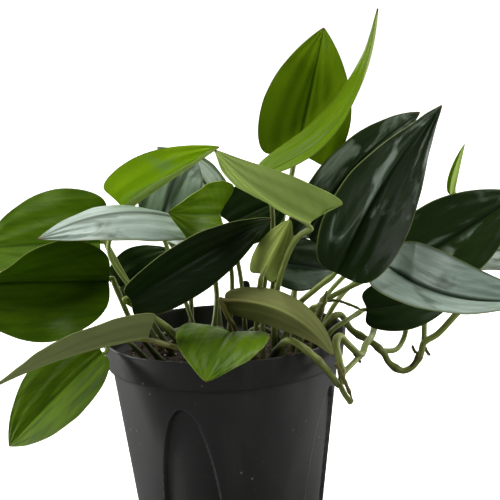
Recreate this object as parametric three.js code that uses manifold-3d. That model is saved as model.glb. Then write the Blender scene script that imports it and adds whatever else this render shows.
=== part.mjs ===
// A potted satin pothos: a thin-walled nursery pot, its root ball of potting mix, trailing vines,
// petioles and heart-shaped leaves. Millimetres, +Z up, origin at the centre of the pot's underside.
import * as THREE from "three";
import { mergeVertices } from "three/addons/utils/BufferGeometryUtils.js";
import Module from "manifold-3d";

// ---------------------------------------------------------------- driving dimensions
const POT_HEIGHT = 110;
const RIM_RADIUS = 63.1; // outer radius of the rim's top edge
const RIM_HEIGHT = 15;
const RIM_FOOT_RADIUS = 61.4; // outer radius of the rim's lower edge
const BODY_TOP_RADIUS = 59; // body just under the rim
const BASE_RADIUS = 47;
const WALL = 1.4;
const FLOOR = 2;
const POT_SEGMENTS = 40;

// Four arched panels are pressed into the body, to stiffen it and to let air in under it.
const PANEL_COUNT = 4;
const PANEL_AZIMUTH = -112; // degrees, centre of the front panel
const PANEL_FOOT_WIDTH = 33;
const PANEL_TOP = 84; // height of the arch's crown
const PANEL_DEPTH = 2;
const ARCH_STEPS = 14;
const ARCH_SHARPNESS = 0.8; // below 1 the crown is broader than an ellipse's

const DRAIN_HOLES = 8;
const DRAIN_HOLE_RADIUS = 3.5;
const DRAIN_CIRCLE_RADIUS = 30;

const SOIL_TOP = 98; // at the middle of the root ball
const GAP = 0.4; // clearance between pieces that touch

const LABEL_WIDTH = 5;
const LABEL_THICKNESS = 1.2;
const LABEL_HEIGHT = 29.6;
const LABEL_PLACE = [12, 41, 98.4];
const LABEL_TURN = 12; // degrees

const LEAF_THICKNESS = 0.8;
const MARGIN_THICKNESS = 0.35;
const LEAF_STATIONS = 8; // intervals from base to tip
const LEAF_LANES = 6; // intervals across the blade
const LOBE_PLACE = 0.08; // share of the length at which the basal lobes reach furthest back
const TAPER = 0.9; // how straight the margins run in to the tip

const STEM_SIDES = 6;
const PETIOLE_STEPS = 7;
const BRANCH_STEPS = 8;
const BRANCH_TAPER = 0.85; // a branch's radius as a share of its stem's

// ---------------------------------------------------------------- colours
const POT_COLOUR = 0x2c2c2e;
const SOIL_COLOUR = 0x2a1d14;
const LABEL_COLOUR = 0x141414;
const STEM_COLOUR = 0x7c8c4a;
const TONES = {
  mature: 0x1f3a22,
  satin: 0x5f7566,
  fresh: 0x4a6a12,
  young: 0x6f9126,
};

// ---------------------------------------------------------------- leaves
// base and tip are the ends of the midrib; face is the side that the upper surface looks to; fold is
// how far each half rises from flat, cup how much further its margin turns, and twist how far the
// blade turns about its midrib from base to tip, in degrees; arch and sweep are the midrib's bow
// towards the face and to the right, hook the tip's lift, and lobe the basal lobes' length.
const LEAVES = [
  {
    name: "leaf_left_back", base: [-62.5, 6, 159], tip: [-129.5, 30, 154], face: [-0.3, -1, 0.25],
    width: 58, widest: 0.3, fold: 10, cup: -8, twist: 0, arch: 3, sweep: 0, hook: 0, lobe: 9,
    tone: "fresh",
  },
  {
    name: "leaf_left_front", base: [-55, -30, 145], tip: [-144, -43.5, 150],
    face: [0.11, -0.88, -0.46], width: 60, widest: 0.38, fold: 33, cup: -8, twist: -90, arch: -2,
    sweep: -1, hook: 0, lobe: 4, tone: "fresh",
  },
  {
    name: "leaf_satin_left", base: [-10.5, -19, 170], tip: [-84.5, -60, 173],
    face: [0.05, -0.34, 1], width: 42, widest: 0.42, fold: -8, cup: -14, twist: 0, arch: 10,
    sweep: 0, hook: 0, lobe: 5, tone: "satin",
  },
  {
    name: "leaf_arching", base: [-48.5, 0, 176], tip: [2, 8, 206], face: [-0.42, -0.6, 0.72],
    width: 40, widest: 0.26, fold: 48, cup: 0, twist: 0, arch: 0, sweep: 0, hook: 0, lobe: 6,
    tone: "young",
  },
  {
    name: "leaf_curled", base: [1, -16, 174.5], tip: [-23, -46, 181], face: [0.76, -0.64, -0.12],
    width: 37, widest: 0.32, fold: 12, cup: 6, twist: 0, arch: 3, sweep: 0, hook: 0, lobe: 7,
    tone: "young",
  },
  {
    name: "leaf_dark_center", base: [-42, -67, 143.5], tip: [27, -27, 173],
    face: [0.56, -0.8, -0.21], width: 33, widest: 0.36, fold: 20, cup: -8, twist: 0, arch: 1,
    sweep: -2, hook: 0, lobe: 6, tone: "mature",
  },
  {
    name: "leaf_pale_back_turned", base: [44, -63, 176], tip: [1.5, -87.5, 215],
    face: [0.17, 0.74, 0.65], width: 38, widest: 0.18, fold: 36, cup: 0, twist: 47, arch: -6,
    sweep: 0, hook: 0, lobe: 10, tone: "young",
  },
  {
    name: "leaf_tall", base: [25.5, -14, 194.5], tip: [84.5, -1, 273.5], face: [-0.78, -0.17, 0.61],
    width: 39, widest: 0.41, fold: 12, cup: 0, twist: -35, arch: -20, sweep: -12, hook: 0, lobe: 6,
    tone: "fresh",
  },
  {
    name: "leaf_top_back", base: [42.5, 32, 198], tip: [59.5, 36, 264], face: [0.1, -1, 0.15],
    width: 49, widest: 0.3, fold: 8, cup: -4, twist: 0, arch: 3, sweep: 0, hook: 0, lobe: 7,
    tone: "fresh",
  },
  {
    name: "leaf_dark_upper_right", base: [44.5, 12, 157.5], tip: [108.5, 26, 218],
    face: [0.41, -0.88, -0.23], width: 37, widest: 0.34, fold: 14, cup: -8, twist: 0, arch: 3,
    sweep: -9, hook: 0, lobe: 9, tone: "mature",
  },
  {
    name: "leaf_dark_front_right", base: [57.5, -45, 147], tip: [113, -10, 224.5],
    face: [0.54, -0.84, 0], width: 48, widest: 0.33, fold: 20, cup: -10, twist: 41, arch: -2,
    sweep: -3, hook: 3, lobe: 4, tone: "mature",
  },
  {
    name: "leaf_right_back", base: [95, 8, 137], tip: [161.5, 24, 173], face: [0.1, -0.97, 0.24],
    width: 46, widest: 0.34, fold: 14, cup: -6, twist: 0, arch: 1, sweep: 0, hook: 0, lobe: 8,
    tone: "mature",
  },
  {
    name: "leaf_satin_right", base: [84.5, -22, 145.5], tip: [159, -60, 135],
    face: [-0.28, -0.57, 0.78], width: 40, widest: 0.27, fold: 32, cup: -8, twist: -14, arch: 1,
    sweep: 12, hook: 0, lobe: 4, tone: "satin",
  },
  {
    name: "leaf_right_far_back", base: [125.5, 34, 138], tip: [183.5, 48, 130], face: [0, -0.4, 1],
    width: 44, widest: 0.34, fold: 8, cup: -8, twist: 0, arch: 5, sweep: 0, hook: 0, lobe: 7,
    tone: "satin",
  },
  {
    name: "leaf_right_low", base: [74.5, -6, 120], tip: [121.5, 2, 121], face: [0, -0.9, 0.4],
    width: 28, widest: 0.36, fold: 6, cup: -6, twist: 0, arch: 3, sweep: 0, hook: 0, lobe: 4,
    tone: "mature",
  },
  {
    name: "leaf_low_left_back_turned", base: [-34.5, -62, 124], tip: [-104.5, -88, 110],
    face: [0.25, 0.36, 0.85], width: 44, widest: 0.22, fold: 28, cup: 0, twist: 0, arch: 3,
    sweep: 0, hook: 0, lobe: 6, tone: "fresh",
  },
  {
    name: "leaf_hanging_left", base: [-60, -36, 110.5], tip: [-110.5, -34, 63],
    face: [-0.4, -0.9, 0.45], width: 40, widest: 0.4, fold: 20, cup: -8, twist: 0, arch: 2,
    sweep: 0, hook: 0, lobe: 4, tone: "young",
  },
  {
    name: "leaf_over_rim", base: [4.5, -44, 120], tip: [-7.5, -82, 106], face: [0, -0.36, 0.95],
    width: 46, widest: 0.34, fold: 14, cup: -10, twist: 0, arch: 4, sweep: 0, hook: 0, lobe: 3,
    tone: "young",
  },
  {
    name: "leaf_front_back_turned", base: [2, -49, 137], tip: [53, -72, 113],
    face: [0.26, 0.91, -0.31], width: 26, widest: 0.34, fold: 48, cup: 0, twist: 0, arch: 2,
    sweep: 8, hook: 0, lobe: 3, tone: "fresh",
  },
  {
    name: "leaf_inner", base: [5.5, 6, 166], tip: [37.5, 12, 178], face: [0.1, -1, 0.4], width: 32,
    widest: 0.34, fold: 6, cup: -6, twist: 0, arch: 3, sweep: 0, hook: 0, lobe: 7, tone: "mature",
  },
  {
    name: "leaf_inner_left", base: [-30.5, 6, 168], tip: [-14.5, 24, 204], face: [-0.2, -1, 0.3],
    width: 34, widest: 0.4, fold: 10, cup: -6, twist: 0, arch: 3, sweep: 0, hook: 0, lobe: 4,
    tone: "satin",
  },
  {
    name: "leaf_low_left_inner", base: [-54.5, 17, 132], tip: [-26.5, 24, 150],
    face: [-0.2, -1, 0.4], width: 28, widest: 0.36, fold: 10, cup: -6, twist: 0, arch: 3, sweep: 0,
    hook: 0, lobe: 5, tone: "mature",
  },
  {
    name: "leaf_behind_petioles", base: [21, -40, 147.5], tip: [36, -38, 174],
    face: [0.01, 0.99, -0.16], width: 20, widest: 0.32, fold: 30, cup: 0, twist: 0, arch: 2,
    sweep: 0, hook: 0, lobe: 3, tone: "fresh",
  },
  {
    name: "leaf_back_left", base: [-4, 36, 177.5], tip: [-33.5, 58, 202], face: [0.2, -0.25, 1],
    width: 32, widest: 0.32, fold: 8, cup: -8, twist: 0, arch: 4, sweep: 0, hook: 0, lobe: 6,
    tone: "mature",
  },
  {
    name: "leaf_back", base: [-6.5, 58, 142], tip: [-26.5, 128, 128], face: [0, 0.5, 0.9],
    width: 52, widest: 0.32, fold: 8, cup: -8, twist: 0, arch: 8, sweep: 0, hook: 0, lobe: 8,
    tone: "satin",
  },
  {
    name: "leaf_back_right", base: [49.5, 52, 148], tip: [89.5, 112, 142], face: [0.1, 0.3, 1],
    width: 50, widest: 0.32, fold: 10, cup: -8, twist: 0, arch: 8, sweep: 0, hook: 0, lobe: 8,
    tone: "mature",
  },
  {
    name: "leaf_furled", base: [127.5, 44, 170], tip: [134.5, 44, 198], face: [-0.9, -0.3, 0.2],
    width: 9, widest: 0.3, fold: 60, cup: 0, twist: 0, arch: 0, sweep: 0, hook: 0, lobe: 0,
    tone: "young",
  },
  {
    name: "leaf_striped", base: [30.5, -5, 146.5], tip: [60, -1, 139.5], face: [0.2, -0.93, 0.31],
    width: 28, widest: 0.34, fold: 10, cup: -8, twist: 0, arch: 2, sweep: 0, hook: 0, lobe: 5,
    tone: "satin",
  },
];

// ---------------------------------------------------------------- stems
// Each stem runs through its points; the last one of a petiole is its leaf's base.
const STEMS = [
  {
    name: "petiole_left_back", leaf: "leaf_left_back", radius: 1.5,
    points: [[-28.5, 6, 98.8], [-44.5, 5, 128]],
  },
  {
    name: "petiole_left_front", leaf: "leaf_left_front", radius: 1.5,
    points: [[-32.5, -14, 98.8], [-44.5, -20, 118]],
  },
  {
    name: "petiole_satin_left", leaf: "leaf_satin_left", radius: 1.4,
    points: [[-8.5, -12, 98.8], [-2.5, -13, 135]],
  },
  {
    name: "petiole_arching", leaf: "leaf_arching", radius: 1.3,
    points: [[-18.5, -2, 98.8], [-42.5, 0, 128], [-57.5, -2, 157]],
  },
  { name: "petiole_curled", leaf: "leaf_curled", radius: 1.3, points: [[1.5, 4, 98.8], [5.5, 0, 140]] },
  {
    name: "petiole_dark_center", leaf: "leaf_dark_center", radius: 1.5,
    points: [[-14.5, -32, 98.8], [-22.5, -44, 120]],
  },
  {
    name: "petiole_pale_back_turned", leaf: "leaf_pale_back_turned", radius: 1.5,
    points: [[25.5, -22, 98.8], [27, -34, 132], [32.5, -50, 156], [38.5, -60, 169]],
  },
  {
    name: "petiole_tall", leaf: "leaf_tall", radius: 1.4,
    points: [[19.5, -10, 98.8], [21.5, -12, 132], [27.5, -12, 165]],
  },
  {
    name: "petiole_top_back", leaf: "leaf_top_back", radius: 1.4,
    points: [[27.5, 18, 98.8], [31.5, 27, 150]],
  },
  {
    name: "petiole_dark_upper_right", leaf: "leaf_dark_upper_right", radius: 1.5,
    points: [[35.5, 4, 98.8], [40, 17, 140]],
  },
  {
    name: "petiole_dark_front_right", leaf: "leaf_dark_front_right", radius: 1.6,
    points: [[27.5, -28, 98.8], [35.5, -32, 126], [47.5, -42, 140]],
  },
  {
    name: "petiole_right_back", leaf: "leaf_right_back", radius: 1.5,
    points: [[49.5, 16, 98.8], [59.5, 22, 116], [71.5, 27, 127]],
  },
  {
    name: "petiole_satin_right", leaf: "leaf_satin_right", radius: 1.5,
    points: [[37.5, -14, 98.8], [45.5, -17, 122]],
  },
  {
    name: "petiole_right_low", leaf: "leaf_right_low", radius: 1.4,
    points: [[45.5, -24, 98.8], [55, -21, 112.6], [63, -16, 116.5]],
  },
  {
    name: "petiole_low_left", leaf: "leaf_low_left_back_turned", radius: 1.4,
    points: [[-6.5, -42, 98.8], [-15.5, -54, 113]],
  },
  {
    name: "petiole_hanging_left", leaf: "leaf_hanging_left", radius: 1.3,
    points: [[-36.5, -22, 98.8], [-50.5, -30, 115.5], [-57, -33.5, 114.5]],
  },
  {
    name: "petiole_over_rim", leaf: "leaf_over_rim", radius: 1.3,
    points: [[-2.5, -27, 98.8], [0.5, -36, 112]],
  },
  {
    name: "petiole_front_back_turned", leaf: "leaf_front_back_turned", radius: 1.4,
    points: [[10, -30, 98.8], [6, -37, 121], [3.5, -46, 128]],
  },
  { name: "petiole_inner", leaf: "leaf_inner", radius: 1.3, points: [[11.5, 8, 98.8], [9.5, 10, 140]] },
  {
    name: "petiole_inner_left", leaf: "leaf_inner_left", radius: 1.3,
    points: [[-12.5, 10, 98.8], [-24.5, 12, 140]],
  },
  {
    name: "petiole_low_left_inner", leaf: "leaf_low_left_inner", radius: 1.3,
    points: [[-34.5, 16, 98.8], [-45.5, 19, 118]],
  },
  {
    name: "petiole_behind", leaf: "leaf_behind_petioles", radius: 1.3,
    points: [[15, -25, 98.8], [17, -30.5, 120]],
  },
  {
    name: "petiole_back_left", leaf: "leaf_back_left", radius: 1.5,
    points: [[-18.5, 30, 98.8], [-16, 38, 140]],
  },
  { name: "petiole_back", leaf: "leaf_back", radius: 1.5, points: [[-2.5, 36, 98.8], [-4.5, 48, 125]] },
  {
    name: "petiole_back_right", leaf: "leaf_back_right", radius: 1.5,
    points: [[33.5, 34, 98.8], [41.5, 44, 130]],
  },
  {
    name: "petiole_furled", leaf: "leaf_furled", radius: 1.4,
    points: [[43.5, 24, 98.8], [55.5, 34, 118], [81.5, 44, 140], [111.5, 49, 162]],
  },
  { name: "petiole_striped", leaf: "leaf_striped", radius: 1.4, points: [[29, 8, 98.8], [25, 1, 118]] },
  {
    name: "vine_front_right", radius: 1.8, steps: 34,
    points: [
      [22, -36, 98.9], [27, -46, 111], [33, -53, 117], [45, -52, 107.5], [53.5, -50, 96.5],
      [56.5, -49, 92.5], [58, -48, 96.5], [57, -47, 105.5], [56, -44, 113], [58, -41, 115],
      [63, -38, 109], [68.5, -35, 103.5], [72, -25, 106], [77, -8, 106.5], [81, 6, 113],
    ],
    branches: [
      [[56.5, -49, 93.5], [59, -51, 88], [62, -52, 84]],
      [[58, -48, 97.5], [62.5, -43, 100], [68, -36, 103]],
    ],
  },
  {
    name: "vine_loop", radius: 1.8, steps: 36,
    points: [
      [46, -2, 98.9], [53, 0, 110], [61, 3, 115.5], [67.5, 4, 106.5], [78, 0, 100],
      [83.5, -2, 94.5], [86, -4, 90], [93, -4, 85.5], [98.5, -3, 87.5], [103, -2, 94.5],
      [104.5, -2, 99.5], [112, 0, 103.5], [122, 2, 113], [125.5, 3, 116],
    ],
    branches: [
      [[104.5, -2, 98.5], [105.5, 2, 108], [106, 4, 113.5]],
      [[81.5, -1, 96], [90.5, 4, 95], [95, 8, 99.5], [97, 10, 106], [97.5, 11, 111]],
    ],
  },
];

const vector = (point) => new THREE.Vector3(...point);
const radians = THREE.MathUtils.degToRad;

// ---------------------------------------------------------------- the leaf's surface
// The half-width at u from base to tip, as a share of the greatest one, which lies at widest.
function outline(widest, u) {
  const belly = (TAPER * widest) / (1 - widest);
  return (u / widest) ** belly * ((1 - u) / (1 - widest)) ** TAPER;
}

function lobeShape(u) {
  return (u / LOBE_PLACE) * Math.exp(1 - u / LOBE_PLACE);
}

function leafFrame(leaf) {
  const base = vector(leaf.base);
  const along = vector(leaf.tip).sub(base);
  const length = along.length();
  along.normalize();
  const face = vector(leaf.face);
  face.addScaledVector(along, -face.dot(along)).normalize();
  const side = along.clone().cross(face);
  return { base, along, length, face, side };
}

function midrib(leaf, frame, u) {
  const bow = 4 * u * (1 - u);
  return frame.base
    .clone()
    .addScaledVector(frame.along, frame.length * u)
    .addScaledVector(frame.face, leaf.arch * bow + leaf.hook * u ** 4)
    .addScaledVector(frame.side, leaf.sweep * bow);
}

// The point of the blade at u from base to tip and v from -1 to 1 across, with its normal.
function bladePoint(leaf, frame, u, v) {
  const step = 1e-3;
  const tangent = midrib(leaf, frame, u + step).sub(midrib(leaf, frame, u - step)).normalize();
  const side = frame.side.clone().addScaledVector(tangent, -frame.side.dot(tangent)).normalize();
  side.applyAxisAngle(tangent, radians(leaf.twist * (u - 0.5)));
  const up = side.clone().cross(tangent);
  const reach = Math.abs(v) * (leaf.width / 2) * outline(leaf.widest, u);
  const turn = radians(leaf.fold + (leaf.cup * Math.abs(v)) / 2);
  const hand = Math.sign(v);
  const point = midrib(leaf, frame, u)
    .addScaledVector(side, hand * reach * Math.cos(turn))
    .addScaledVector(up, reach * Math.sin(turn))
    .addScaledVector(tangent, -leaf.lobe * lobeShape(u) * Math.abs(v));
  const normal = up.clone().multiplyScalar(Math.cos(turn)).addScaledVector(side, -hand * Math.sin(turn));
  return { point, normal };
}

// The blade as a closed solid: an upper skin, a lower skin and the edge that joins them.
function leafGeometry(leaf) {
  const frame = leafFrame(leaf);
  const rows = LEAF_STATIONS + 1;
  const columns = LEAF_LANES + 1;
  const first = 0.012;
  const last = 0.985;
  const positions = [];
  for (const skin of [1, -1]) {
    for (let i = 0; i < rows; i++) {
      const share = (1 - Math.cos((Math.PI * i) / LEAF_STATIONS)) / 2;
      const u = first + (last - first) * (0.35 * (i / LEAF_STATIONS) + 0.65 * share);
      for (let j = 0; j < columns; j++) {
        const v = (2 * j) / LEAF_LANES - 1;
        const { point, normal } = bladePoint(leaf, frame, u, v);
        const thick = THREE.MathUtils.lerp(LEAF_THICKNESS, MARGIN_THICKNESS, Math.abs(v));
        positions.push(...point.addScaledVector(normal, (skin * thick) / 2).toArray());
      }
    }
  }
  const at = (skin, i, j) => skin * rows * columns + i * columns + j;
  const index = [];
  const quad = (a, b, c, d) => index.push(a, b, c, a, c, d);
  for (let i = 0; i < LEAF_STATIONS; i++) {
    for (let j = 0; j < LEAF_LANES; j++) {
      quad(at(0, i, j), at(0, i, j + 1), at(0, i + 1, j + 1), at(0, i + 1, j));
      quad(at(1, i, j), at(1, i + 1, j), at(1, i + 1, j + 1), at(1, i, j + 1));
    }
    quad(at(0, i, 0), at(0, i + 1, 0), at(1, i + 1, 0), at(1, i, 0));
    quad(at(0, i, LEAF_LANES), at(1, i, LEAF_LANES), at(1, i + 1, LEAF_LANES), at(0, i + 1, LEAF_LANES));
  }
  for (let j = 0; j < LEAF_LANES; j++) {
    quad(at(0, 0, j), at(1, 0, j), at(1, 0, j + 1), at(0, 0, j + 1));
    const end = LEAF_STATIONS;
    quad(at(0, end, j), at(0, end, j + 1), at(1, end, j + 1), at(1, end, j));
  }
  const geometry = new THREE.BufferGeometry();
  geometry.setAttribute("position", new THREE.Float32BufferAttribute(positions, 3));
  geometry.setIndex(index);
  geometry.computeVertexNormals();
  return geometry;
}

// Where a petiole ends: just under the blade, behind its base.
function petioleEnd(leaf, radius) {
  const frame = leafFrame(leaf);
  return frame.base.clone().addScaledVector(frame.along, -1.5).addScaledVector(frame.face, -(radius + 1.2));
}

function tubeGeometry(points, radius, steps) {
  const path = new THREE.CatmullRomCurve3(points, false, "centripetal");
  const section = new THREE.Shape();
  for (let i = 0; i < STEM_SIDES; i++) {
    const angle = (2 * Math.PI * i) / STEM_SIDES;
    const x = radius * Math.cos(angle);
    const y = radius * Math.sin(angle);
    if (i === 0) section.moveTo(x, y);
    else section.lineTo(x, y);
  }
  section.closePath();
  return new THREE.ExtrudeGeometry(section, { steps, bevelEnabled: false, extrudePath: path });
}

// ---------------------------------------------------------------- booleans
const wasm = await Module();
wasm.setup();

function toSolid(geometry) {
  const bare = geometry.clone();
  bare.deleteAttribute("normal");
  bare.deleteAttribute("uv");
  const merged = mergeVertices(bare, 1e-3);
  return new wasm.Manifold(
    new wasm.Mesh({
      numProp: 3,
      vertProperties: new Float32Array(merged.attributes.position.array),
      triVerts: new Uint32Array(merged.index.array),
    }),
  );
}

// A stem as one solid, with its branches joined to it.
function stemGeometry(stem) {
  const points = stem.points.map(vector);
  if (stem.leaf) points.push(petioleEnd(LEAVES.find((leaf) => leaf.name === stem.leaf), stem.radius));
  const trunk = tubeGeometry(points, stem.radius, stem.steps ?? PETIOLE_STEPS);
  if (!stem.branches) return trunk;
  const branches = stem.branches.map((branch) =>
    toSolid(tubeGeometry(branch.map(vector), BRANCH_TAPER * stem.radius, BRANCH_STEPS)),
  );
  return fromSolid(wasm.Manifold.union([toSolid(trunk), ...branches]));
}

function fromSolid(solid) {
  const mesh = solid.getMesh();
  const geometry = new THREE.BufferGeometry();
  geometry.setAttribute("position", new THREE.BufferAttribute(mesh.vertProperties, 3));
  geometry.setIndex(new THREE.BufferAttribute(mesh.triVerts, 1));
  geometry.computeVertexNormals();
  return geometry;
}

// ---------------------------------------------------------------- pot and soil
const SHOULDER = POT_HEIGHT - RIM_HEIGHT;

function lathe(profile) {
  const points = profile.map(([radius, height]) => new THREE.Vector2(radius, height));
  return toSolid(new THREE.LatheGeometry(points, POT_SEGMENTS).rotateX(Math.PI / 2));
}

function bodyRadius(height) {
  return THREE.MathUtils.lerp(BASE_RADIUS, BODY_TOP_RADIUS, height / SHOULDER);
}

// The body's cone, drawn in by an inset and closed at its foot and top.
function bodyCone(inset, foot) {
  return lathe([
    [0, foot],
    [bodyRadius(foot) - inset, foot],
    [BODY_TOP_RADIUS - inset, SHOULDER],
    [0, SHOULDER],
  ]);
}

// The four panels as blocks with an arched outline, that reach from inside the body to outside it.
function archBlocks(margin) {
  const half = PANEL_FOOT_WIDTH / 2 + margin;
  const crown = PANEL_TOP + margin;
  const outline = new THREE.Shape().moveTo(half, -5);
  for (let i = 0; i <= ARCH_STEPS; i++) {
    const angle = (Math.PI * i) / ARCH_STEPS;
    outline.lineTo(half * Math.cos(angle), crown * Math.sin(angle) ** ARCH_SHARPNESS);
  }
  outline.lineTo(-half, -5);
  const blocks = [];
  for (let i = 0; i < PANEL_COUNT; i++) {
    const block = new THREE.ExtrudeGeometry(outline, { depth: 50, bevelEnabled: false });
    block.translate(0, 0, 25).rotateX(Math.PI / 2);
    block.rotateZ(radians(PANEL_AZIMUTH + 90 + (360 / PANEL_COUNT) * i));
    blocks.push(toSolid(block));
  }
  return wasm.Manifold.union(blocks);
}

// A hollow or filling that follows the body, panels and all, a given distance inside its skin.
function bodyFilling(inset, foot, top) {
  const cone = lathe([[0, foot], [bodyRadius(foot) - inset, foot], ...top]);
  const pressed = archBlocks(inset).subtract(bodyCone(PANEL_DEPTH + inset, foot - 1));
  return cone.subtract(pressed);
}

function potGeometry() {
  let pot = lathe([
    [0, 0],
    [BASE_RADIUS - 0.8, 0],
    [BASE_RADIUS, 0.8],
    [BODY_TOP_RADIUS, SHOULDER],
    [RIM_FOOT_RADIUS, SHOULDER + 0.4],
    [RIM_RADIUS, POT_HEIGHT - 0.5],
    [RIM_RADIUS - 0.4, POT_HEIGHT],
    [0, POT_HEIGHT],
  ]);
  pot = pot.subtract(archBlocks(0).subtract(bodyCone(PANEL_DEPTH, -1)));
  const hollow = bodyFilling(WALL, FLOOR, [
    [BODY_TOP_RADIUS - WALL, SHOULDER + 0.6],
    [RIM_FOOT_RADIUS - WALL, SHOULDER + 2],
    [RIM_RADIUS - WALL, POT_HEIGHT + 1],
    [0, POT_HEIGHT + 1],
  ]);
  pot = pot.subtract(hollow);
  for (let i = 0; i < DRAIN_HOLES; i++) {
    const angle = (2 * Math.PI * (i + 0.5)) / DRAIN_HOLES;
    const hole = new THREE.CylinderGeometry(DRAIN_HOLE_RADIUS, DRAIN_HOLE_RADIUS, 4 * FLOOR, 10);
    hole.rotateX(Math.PI / 2);
    hole.translate(DRAIN_CIRCLE_RADIUS * Math.cos(angle), DRAIN_CIRCLE_RADIUS * Math.sin(angle), FLOOR / 2);
    pot = pot.subtract(toSolid(hole));
  }
  return fromSolid(pot);
}

function soilGeometry() {
  const inset = WALL + GAP;
  return fromSolid(
    bodyFilling(inset, FLOOR + GAP, [
      [BODY_TOP_RADIUS - inset, SHOULDER],
      [54.5, 96.4],
      [40, 97.4],
      [20, 97.8],
      [0, SOIL_TOP],
    ]),
  );
}

// A plant label pushed into the soil, with a rounded top.
function labelGeometry() {
  const outline = new THREE.Shape().moveTo(-LABEL_WIDTH / 2, 0).lineTo(LABEL_WIDTH / 2, 0);
  const shoulder = LABEL_HEIGHT - LABEL_WIDTH / 2;
  outline.absarc(0, shoulder, LABEL_WIDTH / 2, 0, Math.PI, false);
  outline.closePath();
  const settings = { depth: LABEL_THICKNESS, bevelEnabled: false, curveSegments: 8 };
  const label = new THREE.ExtrudeGeometry(outline, settings);
  return label.rotateX(Math.PI / 2).rotateZ(radians(LABEL_TURN)).translate(...LABEL_PLACE);
}

// ---------------------------------------------------------------- the plant
const plant = new THREE.Group();

function add(name, geometry, color, roughness) {
  const material = new THREE.MeshStandardMaterial({ color, roughness, metalness: 0, side: THREE.DoubleSide });
  const mesh = new THREE.Mesh(geometry, material);
  mesh.name = name;
  plant.add(mesh);
}

add("pot", potGeometry(), POT_COLOUR, 0.5);
add("soil", soilGeometry(), SOIL_COLOUR, 0.95);
add("plant_label", labelGeometry(), LABEL_COLOUR, 0.4);
for (const leaf of LEAVES) add(leaf.name, leafGeometry(leaf), TONES[leaf.tone], 0.4);
for (const stem of STEMS) add(stem.name, stemGeometry(stem), STEM_COLOUR, 0.5);

export default plant;
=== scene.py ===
# %% [markdown]
# # A potted satin pothos
# Every leaf, stalk and vine of this plant is built from the same few numbers as its packed
# stand-in, only far finer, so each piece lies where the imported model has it. The script loads
# that model first and reads nothing else.
# Lengths in the tables are millimetres, as on a maker's bench; MM turns them into metres.

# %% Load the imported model
import math
from collections import namedtuple

import bmesh
import bpy
import numpy as np
from mathutils import Matrix, Vector, noise


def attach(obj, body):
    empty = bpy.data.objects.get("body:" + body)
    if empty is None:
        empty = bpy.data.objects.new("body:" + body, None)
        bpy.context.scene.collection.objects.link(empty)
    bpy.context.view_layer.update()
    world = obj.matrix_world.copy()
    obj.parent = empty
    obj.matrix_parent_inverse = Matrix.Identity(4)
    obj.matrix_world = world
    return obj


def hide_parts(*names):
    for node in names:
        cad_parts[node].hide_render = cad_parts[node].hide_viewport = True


MM = 0.001
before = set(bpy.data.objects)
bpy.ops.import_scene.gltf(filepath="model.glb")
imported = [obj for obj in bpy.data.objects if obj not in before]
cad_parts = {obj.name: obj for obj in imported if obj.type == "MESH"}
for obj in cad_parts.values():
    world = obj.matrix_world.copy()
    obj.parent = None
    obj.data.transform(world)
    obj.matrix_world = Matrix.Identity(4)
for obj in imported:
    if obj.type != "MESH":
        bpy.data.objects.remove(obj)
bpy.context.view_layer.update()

# %% [markdown]
# ## Camera
# A long lens from a little above the rim keeps the pot's sides nearly parallel and shows the
# leaves as they overlap. The camera is placed by an angle and a distance rather than by eye,
# so that it can be set again from the same few numbers.

# %% Camera
CAMERA_TARGET = Vector((15.5 * MM, 0, 152.5 * MM))
CAMERA_DISTANCE = 700 * MM
CAMERA_ELEVATION = math.radians(10.5)
CAMERA_ROLL = math.radians(-2.4)
CAMERA_LENS, SENSOR_WIDTH = 97.2, 36  # millimetres, as lenses are sold
NEAREST, FURTHEST = 0.02, 20  # metres that the camera sees between


def place_camera():
    ahead = Vector((0, math.cos(CAMERA_ELEVATION), -math.sin(CAMERA_ELEVATION)))
    level = Vector((1, 0, 0))
    upright = level.cross(ahead)
    right = math.cos(CAMERA_ROLL) * level + math.sin(CAMERA_ROLL) * upright
    up = -math.sin(CAMERA_ROLL) * level + math.cos(CAMERA_ROLL) * upright
    data = bpy.data.cameras.new("camera")
    data.lens, data.sensor_width = CAMERA_LENS, SENSOR_WIDTH
    data.clip_start, data.clip_end = NEAREST, FURTHEST
    camera = bpy.data.objects.new("camera", data)
    turn = Matrix((right, up, -ahead)).transposed()
    camera.matrix_world = Matrix.Translation(CAMERA_TARGET - ahead * CAMERA_DISTANCE) @ turn.to_4x4()
    bpy.context.scene.collection.objects.link(camera)
    bpy.context.scene.camera = camera
    return camera


camera = place_camera()
print("camera at", tuple(round(c, 3) for c in camera.location))

# %% [markdown]
# ## Shader maths as Python
# A finish that varies over a surface is arithmetic on sockets. Wrapping a socket in a small
# class lets that arithmetic be written as an expression, such as 1 - margin * 0.5, and each
# operator adds its Math node. Colours are blended with Mix nodes, because a Math node would
# turn them grey.

# %% Sockets that can be added and multiplied
class Value:
    """One number per point of a surface, as an output socket of a material's nodes."""

    def __init__(self, finish, socket):
        self.finish, self.socket = finish, socket

    def math(self, operation, *others):
        return self.finish.node("ShaderNodeMath", dict(operation=operation), [self, *others])

    def __add__(self, other):
        return self.math("ADD", other)

    def __mul__(self, other):
        return self.math("MULTIPLY", other)

    def __sub__(self, other):
        return self.math("SUBTRACT", other)

    def __rsub__(self, other):
        return self.finish.node("ShaderNodeMath", dict(operation="SUBTRACT"), [other, self])

    __radd__, __rmul__ = __add__, __mul__

    def size(self):
        return self.math("ABSOLUTE")

    def step(self, low, high, start=0.0, end=1.0):
        """Eases from start to end as this value goes from low to high."""
        settings = dict(interpolation_type="SMOOTHSTEP", data_type="FLOAT")
        return self.finish.node("ShaderNodeMapRange", settings, [self, low, high, start, end])


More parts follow.
